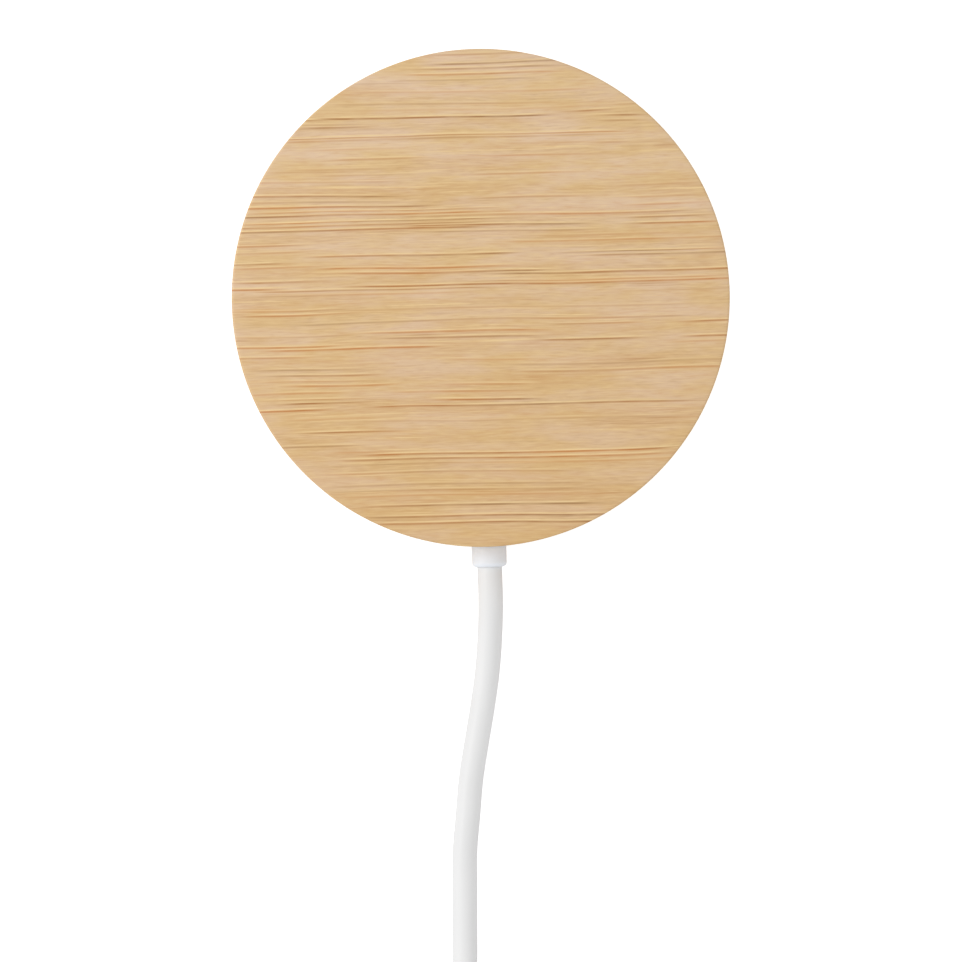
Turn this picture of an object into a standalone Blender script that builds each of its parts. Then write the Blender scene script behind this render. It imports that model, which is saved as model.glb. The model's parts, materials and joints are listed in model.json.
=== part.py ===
"""Round bamboo wireless charging pad with its captive USB-C cord.

Lengths are in metres and +Z is up. The origin is the middle of the pad, on the surface that it
stands on, and the cord leaves the pad towards -Y. Each sub-part is one closed object in the
collection "wireless_charging_pad"; the shapes that cut them are in "cutters".
"""

import math

import bmesh
import bpy
from mathutils import Matrix, Vector

MM = 0.001

# Pad: overall size and shells
PAD_DIAMETER = 60.0 * MM
TOP_THICKNESS = 1.6 * MM
SIDE_WALL = 2.2 * MM
EDGE_ROUND = 0.3 * MM
BASE_FLOOR = 1.4 * MM
BASE_LIP_WALL = 0.8 * MM
FOOT_WIDTH = 7.5 * MM
FOOT_THICKNESS = 1.0 * MM
FOOT_PROUD = 0.5 * MM
FOOT_RIM = 0.3 * MM

# Coil carrier
CARRIER_PLATE = 0.6 * MM
CARRIER_OUTER_WALL = 0.85 * MM
CARRIER_INNER_WALL = 0.6 * MM
BOSS_RADIUS = 1.9 * MM
STAKE_RADIUS = 0.6 * MM
STAKE_HEAD_RADIUS = 1.1 * MM
STAKE_HEAD_HEIGHT = 0.5 * MM
STAKE_INSET = 2.5 * MM
STAKE_ANGLES = (0.0, 120.0, 240.0)

# Cover screws
SCREW_ANGLES = (45.0, 135.0, 225.0, 315.0)
SCREW_SHANK_RADIUS = 0.6 * MM
SCREW_HEAD_RADIUS = 1.3 * MM
SCREW_HEAD_HEIGHT = 0.5 * MM
SCREW_HEAD_EDGE = 0.1 * MM

# Magnets, coil and ferrite
MAGNET_PLACES = 15
MAGNET_WIDTH = 3.8 * MM
MAGNET_THICKNESS = 1.0 * MM
MAGNET_SPACING = 0.6 * MM
YOKE_THICKNESS = 0.4 * MM
FERRITE_THICKNESS = 0.5 * MM
COIL_BORE_RADIUS = 10.5 * MM
COIL_WIRE = 0.95 * MM
COIL_PITCH = 1.1 * MM
COIL_EDGE_MARGIN = 0.2 * MM
CENTRE_HOLE_MARGIN = 1.5 * MM
LEAD_SLOT_WIDTH = 2.4 * MM
LEAD_SLOT_LENGTH = 2.8 * MM
LEAD_SLOT_ANGLE = 90.0
# from the lead slot: where the coil's inner end drops, turns level and joins the first turn
COIL_START_ANGLES = (-50.0, -42.0, -25.0)
# and where its outer end drops, just past the last turn
COIL_FINISH_ANGLE = 1.0
TAPE_THICKNESS = 0.15 * MM

# Circuit board
BOARD_THICKNESS = 0.8 * MM
CHIPS = {
    # name: (x, y) of its middle on the board, then its size along x, y and z
    "controller_chip": ((0.0, 0.0), (5.0, 5.0, 0.85)),
    "power_stage_chip": ((-8.0, 1.5), (4.0, 4.0, 0.85)),
    "power_inductor": ((7.5, -6.5), (4.2, 4.2, 1.6)),
    "crystal": ((7.0, 1.8), (2.5, 2.0, 0.6)),
    "input_capacitor_1": ((-7.0, -5.5), (3.2, 1.6, 1.2)),
    "input_capacitor_2": ((-7.0, -9.0), (3.2, 1.6, 1.2)),
}
RESONANCE_CAPACITOR = (3.2, 2.5, 1.4)
RESONANCE_CAPACITORS = 4
RESONANCE_PITCH = 4.4
RESONANCE_ROW_Y = 8.5
CHIP_BEVEL = 0.12 * MM
THERMISTOR_RADIUS = 0.75 * MM
THERMISTOR_STEPS = (12, 8)

# Cord, grommet and inner leads
CORD_DIAMETER = 3.0 * MM
CORD_SIDE_ANGLE = -90.0
GROMMET_DIAMETER = 4.2 * MM
GROMMET_PROUD = 2.5 * MM
GROMMET_ROUND = 0.55 * MM
FLANGE_STEP = 0.5 * MM
FLANGE_THICKNESS = 0.55 * MM
JACKET_INSIDE = 1.6 * MM
LEAD_DIAMETER = 0.7 * MM
LEAD_SPREAD = 0.45 * MM
PAD_PITCH = 1.5 * MM
PAD_INSET = 2.0 * MM

# Cord coil and its tie
COIL_CENTRE = (14.0, -78.5)
OUTER_TURN_RADIUS = 23.7 * MM
TURN_CLEARANCE = 0.06 * MM
WHOLE_TURNS = 8
COIL_LAYERS = 2
ENTRY_ANGLE = 160.0
EXIT_ANGLE = 95.0
TIE_ANGLE = 300.0
TIE_THICKNESS = 0.7 * MM
TIE_WIDTH = 5.0 * MM
TIE_FOLD = 0.25 * MM

# USB-C plug
PLUG_BODY = (12.0 * MM, 6.4 * MM, 18.0 * MM)
PLUG_CORNER = 2.6 * MM
PLUG_EDGE = 0.5 * MM
PLUG_SHELL = (8.34 * MM, 2.56 * MM, 6.65 * MM)
SHELL_WALL = 0.3 * MM
LINING_WALL = 0.35 * MM
LINING_SETBACK = 0.4 * MM
RELIEF_LENGTH = 8.0 * MM
RELIEF_BACK_RADIUS = 1.9 * MM
RELIEF_FRONT_RADIUS = 2.7 * MM

# Clearances
FIT = 0.15 * MM
SEAT = 0.1 * MM
CORD_GAP = 0.3 * MM
TIE_GAP = 0.2 * MM
CHIP_CLEARANCE = 0.2 * MM
CUT_THROUGH = 2.0 * MM

# Fineness of the round surfaces
PAD_STEPS = 64
INNER_STEPS = 48
SMALL_STEPS = 20
COIL_STEPS = 20
CORNER_STEPS = 3
ARC_STEPS = 4
SHARP_ANGLE = math.radians(35)
WELD = 0.001 * MM

# The cord's own route. Each point is x and y in millimetres from the middle of the grommet's
# outer face, and how much of the drop from the grommet to the surface is still left there.
CORD_ROUTE = (
    (0.0, -0.3, 1.0),
    (0.0, -4.0, 0.9),
    (-0.23, -8.3, 0.62),
    (-0.68, -12.6, 0.3),
    (-1.44, -17.1, 0.08),
    (-2.3, -21.4, 0.0),
    (-3.12, -25.8, 0.0),
    (-3.63, -30.1, 0.0),
    (-4.14, -34.5, 0.0),
    (-4.29, -38.8, 0.0),
    (-4.4, -42.1, 0.0),
    (-4.59, -48.0, 0.0),
    (-4.95, -54.0, 0.0),
    (-5.75, -60.0, 0.0),
    (-6.95, -65.5, 0.0),
)
# From the coil's last turn over the cord and down to the plug. The third number is the height in
# layers of cord above a cord that lies on the surface.
TAIL_ROUTE = (
    (6.5, -55.3, 1.04),
    (1.0, -55.8, 1.1),
    (-4.9, -56.7, 1.1),
    (-10.2, -58.3, 0.8),
    (-14.8, -61.2, 0.38),
    (-18.2, -65.3, 0.08),
    (-20.3, -70.4, 0.08),
    (-20.9, -75.4, 0.36),
)
PLUG_START = (-20.9, -80.0)

COLOURS = {
    # finish: linear red, green and blue, then roughness and metallic
    "bamboo": ((0.69, 0.47, 0.27), 0.45, 0.0),
    "cover_plastic": ((0.80, 0.79, 0.77), 0.5, 0.0),
    "silicone": ((0.62, 0.62, 0.60), 0.75, 0.0),
    "screw_steel": ((0.55, 0.55, 0.56), 0.35, 1.0),
    "carrier_plastic": ((0.70, 0.70, 0.68), 0.55, 0.0),
    "adhesive_tape": ((0.72, 0.70, 0.62), 0.6, 0.0),
    "copper_wire": ((0.72, 0.33, 0.14), 0.35, 1.0),
    "ferrite": ((0.035, 0.035, 0.04), 0.6, 0.0),
    "magnet_nickel": ((0.62, 0.60, 0.57), 0.28, 1.0),
    "yoke_steel": ((0.48, 0.48, 0.49), 0.4, 1.0),
    "circuit_board": ((0.02, 0.16, 0.06), 0.45, 0.0),
    "chip_resin": ((0.02, 0.02, 0.022), 0.55, 0.0),
    "ceramic": ((0.45, 0.33, 0.22), 0.5, 0.0),
    "can_metal": ((0.58, 0.58, 0.58), 0.3, 1.0),
    "thermistor_resin": ((0.02, 0.05, 0.09), 0.35, 0.0),
    "cord_plastic": ((0.83, 0.81, 0.79), 0.5, 0.0),
    "plug_plastic": ((0.83, 0.82, 0.80), 0.4, 0.0),
    "plug_steel": ((0.66, 0.66, 0.67), 0.25, 1.0),
    "contact_resin": ((0.03, 0.03, 0.03), 0.5, 0.0),
    "tie_fabric": ((0.76, 0.75, 0.73), 0.9, 0.0),
    "lead_red": ((0.5, 0.02, 0.02), 0.45, 0.0),
    "lead_black": ((0.02, 0.02, 0.02), 0.45, 0.0),
    "lead_green": ((0.02, 0.25, 0.06), 0.45, 0.0),
    "lead_white": ((0.75, 0.75, 0.73), 0.45, 0.0),
}

# Radii, from the outside in
PAD_RADIUS = PAD_DIAMETER / 2
CAVITY_RADIUS = PAD_RADIUS - SIDE_WALL
SHELL_RADIUS = CAVITY_RADIUS - FIT
MAGNET_OUTER = SHELL_RADIUS - CARRIER_OUTER_WALL - FIT
MAGNET_INNER = MAGNET_OUTER - MAGNET_WIDTH
INNER_WALL_OUTER = MAGNET_INNER - FIT
INNER_WALL_INNER = INNER_WALL_OUTER - CARRIER_INNER_WALL
FERRITE_RADIUS = INNER_WALL_INNER - FIT
CENTRE_HOLE_RADIUS = COIL_BORE_RADIUS - CENTRE_HOLE_MARGIN
COIL_FIRST_RADIUS = COIL_BORE_RADIUS + COIL_WIRE / 2
COIL_ROOM = FERRITE_RADIUS - COIL_EDGE_MARGIN - COIL_WIRE / 2 - COIL_FIRST_RADIUS
COIL_TURNS = math.floor(COIL_ROOM / COIL_PITCH)
COIL_LAST_RADIUS = COIL_FIRST_RADIUS + COIL_TURNS * COIL_PITCH

# Grommet stations, measured outwards from the pad's axis
CORD_RADIUS = CORD_DIAMETER / 2
CORD_SPACING = 2.1 * CORD_DIAMETER
GROMMET_RADIUS = GROMMET_DIAMETER / 2
FLANGE_RADIUS = GROMMET_RADIUS + FLANGE_STEP
GROMMET_END = PAD_RADIUS + GROMMET_PROUD
FLANGE_OUTER_FACE = math.sqrt(CAVITY_RADIUS**2 - FLANGE_RADIUS**2) - FIT
FLANGE_INNER_FACE = FLANGE_OUTER_FACE - FLANGE_THICKNESS
JACKET_START = FLANGE_INNER_FACE - FIT
JACKET_END = JACKET_START - JACKET_INSIDE

# Foot ring and the screws that it hides
RECESS_OUTER = FLANGE_INNER_FACE - FIT - FOOT_RIM
FOOT_OUTER = RECESS_OUTER - FIT
FOOT_INNER = FOOT_OUTER - FOOT_WIDTH
RECESS_INNER = FOOT_INNER - FIT
SCREW_CIRCLE = (FOOT_OUTER + FOOT_INNER) / 2
BOARD_RADIUS = SCREW_CIRCLE - BOSS_RADIUS - FIT * 2
STAKE_CIRCLE = BOARD_RADIUS - STAKE_INSET

# Heights, from the surface up
TALLEST_CHIP = max([size[2] for _, size in CHIPS.values()] + [RESONANCE_CAPACITOR[2]]) * MM
FLOOR_BOTTOM = FOOT_PROUD
RECESS_TOP = FOOT_THICKNESS + SEAT
FLOOR_TOP = FLOOR_BOTTOM + BASE_FLOOR
BOARD_BOTTOM = FLOOR_TOP + CHIP_CLEARANCE + TALLEST_CHIP + SEAT
BOARD_TOP = BOARD_BOTTOM + BOARD_THICKNESS
PLATE_BOTTOM = BOARD_TOP + FIT
PLATE_TOP = PLATE_BOTTOM + CARRIER_PLATE
FERRITE_BOTTOM = PLATE_TOP + SEAT
FERRITE_TOP = FERRITE_BOTTOM + FERRITE_THICKNESS
COIL_BOTTOM = FERRITE_TOP + SEAT
COIL_TOP = COIL_BOTTOM + COIL_WIRE
YOKE_BOTTOM = PLATE_TOP + SEAT
MAGNET_BOTTOM = YOKE_BOTTOM + YOKE_THICKNESS + SEAT
CARRIER_TOP = max(COIL_TOP, MAGNET_BOTTOM + MAGNET_THICKNESS)
TAPE_BOTTOM = CARRIER_TOP + SEAT
TAPE_TOP = TAPE_BOTTOM + TAPE_THICKNESS
CEILING = TAPE_TOP + FIT
PAD_TOP = CEILING + TOP_THICKNESS
EXIT_HEIGHT = YOKE_BOTTOM - FIT - CORD_RADIUS

# Cord coil
TURN_PITCH = CORD_DIAMETER + TURN_CLEARANCE
TURNS_PER_LAYER = (WHOLE_TURNS - (ENTRY_ANGLE - EXIT_ANGLE) / 360) / COIL_LAYERS
INNER_TURN_RADIUS = OUTER_TURN_RADIUS - TURNS_PER_LAYER * TURN_PITCH
RING_OUTER = OUTER_TURN_RADIUS + CORD_RADIUS
RING_INNER = INNER_TURN_RADIUS - CORD_RADIUS
RING_TOP = CORD_DIAMETER + (COIL_LAYERS - 1) * TURN_PITCH + TIE_THICKNESS
PLUG_AXIS_HEIGHT = PLUG_BODY[1] / 2


def clear_scene():
    for obj in list(bpy.data.objects):
        bpy.data.objects.remove(obj, do_unlink=True)


def new_collection(name, hidden=False):
    collection = bpy.data.collections.new(name)
    collection.hide_render = hidden
    bpy.context.scene.collection.children.link(collection)
    return collection


def finish_material(name):
    """The Principled material of a finish, made once."""
    if name in bpy.data.materials:
        return bpy.data.materials[name]
    colour, roughness, metallic = COLOURS[name]
    material = bpy.data.materials.new(name)
    material.use_nodes = True
    shader = material.node_tree.nodes["Principled BSDF"]
    shader.inputs["Base Color"].default_value = (*colour, 1.0)
    shader.inputs["Roughness"].default_value = roughness
    shader.inputs["Metallic"].default_value = metallic
    material.diffuse_color = (*colour, 1.0)
    return material


def place(name, data, finish):
    """A new object in the parts' collection, or a cutter where it has no finish."""
    obj = bpy.data.objects.new(name, data)
    if finish is None:
        CUTTERS.objects.link(obj)
        obj.hide_render = True
        obj.display_type = "WIRE"
    else:
        PARTS.objects.link(obj)
        data.materials.append(finish_material(finish))
    return obj


def as_mesh(obj):
    """Replaces what the object holds by the mesh that its curve and modifiers make."""
    graph = bpy.context.evaluated_depsgraph_get()
    mesh = bpy.data.meshes.new_from_object(obj.evaluated_get(graph))
    work = bmesh.new()
    work.from_mesh(mesh)
    bmesh.ops.remove_doubles(work, verts=work.verts, dist=WELD)
    work.to_mesh(mesh)
    work.free()
    if obj.type == "MESH":
        obj.modifiers.clear()
        obj.data = mesh
        return obj
    name = obj.name
    matrix = obj.matrix_world.copy()
    homes = list(obj.users_collection)
    hidden = obj.hide_render
    bpy.data.objects.remove(obj)
    solid = bpy.data.objects.new(name, mesh)
    for home in homes:
        home.objects.link(solid)
    solid.matrix_world = matrix
    solid.hide_render = hidden
    solid.display_type = "WIRE" if hidden else "TEXTURED"
    return solid


def shade_round(obj):
    obj.data.shade_smooth()
    obj.data.set_sharp_from_angle(angle=SHARP_ANGLE)
    return obj


def turned(name, profile, finish, steps, closed=False):
    """A profile of (radius, height) points, down its outer side, turned round Z.

    An open profile starts and ends on the axis; a closed one makes a ring.
    """
    mesh = bpy.data.meshes.new(name)
    points = [(radius, 0.0, height) for radius, height in profile]
    edges = [(i, i + 1) for i in range(len(points) - 1)]
    if closed:
        edges.append((len(points) - 1, 0))
    mesh.from_pydata(points, edges, [])
    obj = place(name, mesh, finish)
    screw = obj.modifiers.new("Turn", "SCREW")
    screw.steps = steps
    screw.render_steps = steps
    screw.use_merge_vertices = True
    screw.merge_threshold = WELD
    return shade_round(as_mesh(obj))


def disc(name, radius, bottom, top, finish, steps):
    """A cylinder between two heights."""
    mesh = bpy.data.meshes.new(name)
    work = bmesh.new()
    middle = Matrix.Translation((0.0, 0.0, (bottom + top) / 2))
    bmesh.ops.create_cone(
        work,
        cap_ends=True,
        segments=steps,
        radius1=radius,
        radius2=radius,
        depth=top - bottom,
        matrix=middle,
    )
    work.to_mesh(mesh)
    work.free()
    return shade_round(place(name, mesh, finish))


def ring(name, inner, outer, bottom, top, finish, steps):
    profile = [(outer, top), (outer, bottom), (inner, bottom), (inner, top)]
    return turned(name, profile, finish, steps, closed=True)


def block(name, low, high, finish):
    """A box from its lowest to its highest corner."""
    mesh = bpy.data.meshes.new(name)
    work = bmesh.new()
    low, high = Vector(low), Vector(high)
    size = Matrix.Diagonal((*(high - low), 1.0))
    bmesh.ops.create_cube(work, size=1.0, matrix=Matrix.Translation((low + high) / 2) @ size)
    work.to_mesh(mesh)
    work.free()
    return place(name, mesh, finish)


def rounded_loop(left, right, bottom, top, radius, steps=CORNER_STEPS):
    """A rectangle with round corners, from the top of its right side and down that side."""
    corners = (
        (right - radius, bottom + radius, 0),
        (left + radius, bottom + radius, -90),
        (left + radius, top - radius, -180),
        (right - radius, top - radius, -270),
    )
    points = []
    for x, y, start in corners:
        for step in range(steps + 1):
            angle = math.radians(start - 90 * step / steps)
            points.append((x + radius * math.cos(angle), y + radius * math.sin(angle)))
    return points


def flat_outline(name, loops, thickness, finish):
    """Loops of (x, y) points filled and made as thick as given, in the middle of z = 0."""
    curve = bpy.data.curves.new(name, "CURVE")
    curve.dimensions = "2D"
    curve.fill_mode = "BOTH"
    curve.extrude = thickness / 2
    for loop in loops:
        spline = curve.splines.new("POLY")
        spline.points.add(len(loop) - 1)
        for point, (x, y) in zip(spline.points, loop):
            point.co = (x, y, 0.0, 1.0)
        spline.use_cyclic_u = True
    return as_mesh(place(name, curve, finish))


def tube(name, points, radius, finish):
    """A round bar along the points, with closed ends."""
    curve = bpy.data.curves.new(name, "CURVE")
    curve.dimensions = "3D"
    curve.bevel_depth = radius
    curve.bevel_resolution = 2
    curve.use_fill_caps = True
    spline = curve.splines.new("POLY")
    spline.points.add(len(points) - 1)
    for point, place_of in zip(spline.points, points):
        point.co = (*place_of, 1.0)
    return place(name, curve, finish)


def combine(obj, other, operation):
    boolean = obj.modifiers.new(operation.title(), "BOOLEAN")
    boolean.operation = operation
    boolean.solver = "EXACT"
    boolean.object = other
    return as_mesh(obj)


def cut(obj, cutter):
    return combine(obj, cutter, "DIFFERENCE")


def join(obj, other):
    return combine(obj, other, "UNION")


def outwards(obj, height):
    """Lays a piece that was made along +Z so that it points along -Y at this height."""
    obj.rotation_euler = (math.radians(90), 0.0, 0.0)
    obj.location = (0.0, 0.0, height)
    bpy.context.view_layer.update()
    return obj


def on_circle(radius, degrees, height=0.0):
    angle = math.radians(degrees)
    return Vector((radius * math.cos(angle), radius * math.sin(angle), height))


def smooth_path(points, steps=12):
    """Close-set points on a smooth curve through the points (Catmull-Rom)."""
    ends = [2 * points[0] - points[1], *points, 2 * points[-1] - points[-2]]
    path = []
    for p0, p1, p2, p3 in zip(ends, ends[1:], ends[2:], ends[3:]):
        for step in range(steps):
            t = step / steps
            path.append(
                0.5
                * (
                    2 * p1
                    + (p2 - p0) * t
                    + (2 * p0 - 5 * p1 + 4 * p2 - p3) * t**2
                    + (3 * p1 - p0 - 3 * p2 + p3) * t**3
                )
            )
    return [*path, points[-1]]


def spaced(path, spacing):
    """Points along the path, evenly spaced by about this much, with both ends kept."""
    lengths = [0.0]
    for a, b in zip(path, path[1:]):
        lengths.append(lengths[-1] + (b - a).length)
    count = max(2, round(lengths[-1] / spacing))
    points = []
    index = 0
    for step in range(count + 1):
        wanted = lengths[-1] * step / count
        while index < len(path) - 2 and lengths[index + 1] < wanted:
            index += 1
        share = (wanted - lengths[index]) / (lengths[index + 1] - lengths[index])
        points.append(path[index].lerp(path[index + 1], share))
    return points


def bamboo_cover():
    """The pad's body: a cup turned from bamboo, open below, with a hole for the grommet."""
    corner = []
    for step in range(CORNER_STEPS + 1):
        angle = math.radians(90 * step / CORNER_STEPS)
        corner.append((EDGE_ROUND * (1 - math.sin(angle)), EDGE_ROUND * (1 - math.cos(angle))))
    profile = [(0.0, PAD_TOP)]
    profile += [(PAD_RADIUS - inset, PAD_TOP - drop) for inset, drop in corner]
    profile += [(PAD_RADIUS - inset, FLOOR_BOTTOM + drop) for inset, drop in reversed(corner)]
    profile += [(CAVITY_RADIUS, FLOOR_BOTTOM), (CAVITY_RADIUS, CEILING), (0.0, CEILING)]
    cover = turned("bamboo_cover", profile, "bamboo", PAD_STEPS)
    hole = disc(
        "grommet_hole",
        GROMMET_RADIUS + FIT,
        CAVITY_RADIUS - CUT_THROUGH,
        PAD_RADIUS + CUT_THROUGH,
        None,
        SMALL_STEPS,
    )
    shade_round(cut(cover, outwards(hole, EXIT_HEIGHT)))


def grommet_pocket():
    """The room that the base and the carrier leave for the grommet's flange and the cord."""
    half = FLANGE_RADIUS + FIT
    inner = JACKET_END - FIT
    outer = SHELL_RADIUS + CUT_THROUGH
    lower = disc("flange_pocket", half, FLANGE_INNER_FACE - FIT, outer, None, SMALL_STEPS)
    channel = disc("cord_channel", CORD_RADIUS + FIT, inner, outer, None, SMALL_STEPS)
    slot_low = (-FLANGE_RADIUS, -outer, EXIT_HEIGHT)
    slot = block("cord_slot", slot_low, (FLANGE_RADIUS, -inner - SEAT, PAD_TOP), None)
    return outwards(lower, EXIT_HEIGHT), outwards(channel, EXIT_HEIGHT), slot


def base_cover(pocket):
    """The moulded bottom, with a recess for the foot ring and a lip that holds up the carrier."""
    lip_top = PLATE_BOTTOM - FIT
    lip_inner = SHELL_RADIUS - BASE_LIP_WALL
    profile = [
        (0.0, FLOOR_TOP),
        (lip_inner, FLOOR_TOP),
        (lip_inner, lip_top),
        (SHELL_RADIUS, lip_top),
        (SHELL_RADIUS, FLOOR_BOTTOM),
        (RECESS_OUTER, FLOOR_BOTTOM),
        (RECESS_OUTER, RECESS_TOP),
        (RECESS_INNER, RECESS_TOP),
        (RECESS_INNER, FLOOR_BOTTOM),
        (0.0, FLOOR_BOTTOM),
    ]
    cover = turned("base_cover", profile, "cover_plastic", PAD_STEPS)
    for cutter in pocket:
        cut(cover, cutter)
    for number, degrees in enumerate(SCREW_ANGLES, 1):
        hole = turned(f"screw_hole_{number}", screw_profile(FIT), None, SMALL_STEPS)
        hole.location = on_circle(SCREW_CIRCLE, degrees)
        bpy.context.view_layer.update()
        cut(cover, hole)
    shade_round(cover)


def screw_profile(clearance):
    """A countersunk screw, head down, with this much added all round for its hole."""
    head_bottom = RECESS_TOP + SEAT
    rim = head_bottom + SCREW_HEAD_EDGE
    neck = rim + SCREW_HEAD_HEIGHT - SCREW_HEAD_EDGE
    tip = PLATE_BOTTOM - 2 * SEAT
    bottom = head_bottom - clearance * 2
    return [
        (0.0, tip),
        (SCREW_SHANK_RADIUS + clearance, tip),
        (SCREW_SHANK_RADIUS + clearance, neck),
        (SCREW_HEAD_RADIUS + clearance, rim),
        (SCREW_HEAD_RADIUS + clearance, bottom),
        (0.0, bottom),
    ]


def cover_screws():
    for number, degrees in enumerate(SCREW_ANGLES, 1):
        screw = turned(f"cover_screw_{number}", screw_profile(0.0), "screw_steel", SMALL_STEPS)
        screw.location = on_circle(SCREW_CIRCLE, degrees)


def coil_carrier(cutters):
    """The inner moulding: a plate with walls round the magnets, screw bosses and board stakes."""
    profile = [
        (SHELL_RADIUS, CARRIER_TOP),
        (SHELL_RADIUS, PLATE_BOTTOM),
        (CENTRE_HOLE_RADIUS, PLATE_BOTTOM),
        (CENTRE_HOLE_RADIUS, PLATE_TOP),
        (INNER_WALL_INNER, PLATE_TOP),
        (INNER_WALL_INNER, CARRIER_TOP),
        (INNER_WALL_OUTER, CARRIER_TOP),
        (INNER_WALL_OUTER, PLATE_TOP),
        (MAGNET_OUTER + FIT, PLATE_TOP),
        (MAGNET_OUTER + FIT, CARRIER_TOP),
    ]
    carrier = turned("coil_carrier", profile, "carrier_plastic", INNER_STEPS, closed=True)
    inside_plate = PLATE_BOTTOM + CARRIER_PLATE / 2
    for number, degrees in enumerate(SCREW_ANGLES, 1):
        hole = SCREW_SHANK_RADIUS + FIT
        boss = turned(
            f"boss_{number}",
            [
                (0.0, inside_plate),
                (BOSS_RADIUS, inside_plate),
                (BOSS_RADIUS, FLOOR_TOP + FIT),
                (hole, FLOOR_TOP + FIT),
                (hole, PLATE_BOTTOM - SEAT),
                (0.0, PLATE_BOTTOM - SEAT),
            ],
            None,
            SMALL_STEPS,
        )
        boss.location = on_circle(SCREW_CIRCLE, degrees)
        bpy.context.view_layer.update()
        join(carrier, boss)
    head_top = BOARD_BOTTOM - SEAT
    for number, degrees in enumerate(STAKE_ANGLES, 1):
        stake = turned(
            f"stake_{number}",
            [
                (0.0, inside_plate),
                (STAKE_RADIUS, inside_plate),
                (STAKE_RADIUS, head_top),
                (STAKE_HEAD_RADIUS, head_top),
                (STAKE_HEAD_RADIUS, head_top - STAKE_HEAD_HEIGHT),
                (0.0, head_top - STAKE_HEAD_HEIGHT),
            ],
            None,
            SMALL_STEPS,
        )
        stake.location = on_circle(STAKE_CIRCLE, degrees)
        bpy.context.view_layer.update()
        join(carrier, stake)
    for cutter in cutters:
        cut(carrier, cutter)
    shade_round(carrier)


def lead_slot():
    """The notch through which the coil's outer end reaches the board."""
    half = LEAD_SLOT_WIDTH / 2
    outer = FERRITE_RADIUS + FIT / 2
    inner = COIL_LAST_RADIUS + COIL_WIRE / 2 + COIL_EDGE_MARGIN - LEAD_SLOT_LENGTH
    low, high = (inner, -half, PLATE_BOTTOM - FIT), (outer, half, COIL_BOTTOM)
    slot = block("lead_slot", low, high, None)
    slot.rotation_euler.z = math.radians(LEAD_SLOT_ANGLE)
    bpy.context.view_layer.update()
    return slot


def ferrite_sheet(slot):
    sheet = ring(
        "ferrite_sheet",
        CENTRE_HOLE_RADIUS,
        FERRITE_RADIUS,
        FERRITE_BOTTOM,
        FERRITE_TOP,
        "ferrite",
        INNER_STEPS,
    )
    shade_round(cut(sheet, slot))


def transmit_coil():
    """A flat spiral of stranded wire. Both of its ends turn down to the board."""
    middle = COIL_BOTTOM + COIL_WIRE / 2
    end = BOARD_TOP + FIT
    half_wire = COIL_WIRE / 2
    drop_radius = CENTRE_HOLE_RADIUS - 2 * FIT - half_wire
    start = LEAD_SLOT_ANGLE
    drop, level, join_on = (start + angle for angle in COIL_START_ANGLES)
    finish = start + COIL_FINISH_ANGLE
    points = [
        on_circle(drop_radius, drop, end),
        on_circle(drop_radius, drop, end + COIL_WIRE),
        on_circle(drop_radius + FIT, level, middle - half_wire / 2),
        on_circle((drop_radius + COIL_FIRST_RADIUS) / 2, join_on, middle),
    ]
    for step in range(COIL_TURNS * COIL_STEPS + 1):
        turn = step / COIL_STEPS
        points.append(on_circle(COIL_FIRST_RADIUS + COIL_PITCH * turn, start + 360 * turn, middle))
    landing = COIL_LAST_RADIUS - COIL_WIRE
    points += [
        on_circle(COIL_LAST_RADIUS, finish, middle - half_wire),
        on_circle((COIL_LAST_RADIUS + landing) / 2, finish, FERRITE_BOTTOM),
        on_circle(landing, finish, end + half_wire),
        on_circle(landing, finish, end),
    ]
    tube("transmit_coil", points, half_wire, "copper_wire")


def magnets():
    """Arc magnets on their steel ring. The place over the cord stays empty."""
    ring(
        "magnet_yoke",
        MAGNET_INNER,
        MAGNET_OUTER,
        YOKE_BOTTOM,
        YOKE_BOTTOM + YOKE_THICKNESS,
        "yoke_steel",
        INNER_STEPS,
    )
    half_angle = 180 / MAGNET_PLACES - math.degrees(MAGNET_SPACING / 2 / MAGNET_INNER)
    outline = []
    for radius, first, last in (
        (MAGNET_INNER, -half_angle, half_angle),
        (MAGNET_OUTER, half_angle, -half_angle),
    ):
        for step in range(ARC_STEPS + 1):
            outline.append(on_circle(radius, first + (last - first) * step / ARC_STEPS).xy)
    height = MAGNET_BOTTOM + MAGNET_THICKNESS / 2
    for number in range(1, MAGNET_PLACES):
        magnet = flat_outline(f"magnet_{number:02d}", [outline], MAGNET_THICKNESS, "magnet_nickel")
        magnet.location.z = height
        magnet.rotation_euler.z = math.radians(CORD_SIDE_ANGLE + 360 * number / MAGNET_PLACES)


def circuit_board():
    board = disc("circuit_board", BOARD_RADIUS, BOARD_BOTTOM, BOARD_TOP, "circuit_board", INNER_STEPS)
    for number, degrees in enumerate(STAKE_ANGLES, 1):
        hole = disc(
            f"stake_hole_{number}",
            STAKE_RADIUS + FIT,
            BOARD_BOTTOM - CUT_THROUGH,
            BOARD_TOP + CUT_THROUGH,
            None,
            SMALL_STEPS,
        )
        hole.location = on_circle(STAKE_CIRCLE, degrees)
        bpy.context.view_layer.update()
        cut(board, hole)
    shade_round(board)


def chip(name, middle, size, finish):
    """A component under the board, with its edges broken."""
    top = BOARD_BOTTOM - SEAT
    half_x, half_y = size[0] * MM / 2, size[1] * MM / 2
    x, y = middle[0] * MM, middle[1] * MM
    low = (x - half_x, y - half_y, top - size[2] * MM)
    body = block(name, low, (x + half_x, y + half_y, top), finish)
    bevel = body.modifiers.new("Edges", "BEVEL")
    bevel.width = CHIP_BEVEL
    bevel.segments = 1


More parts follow.
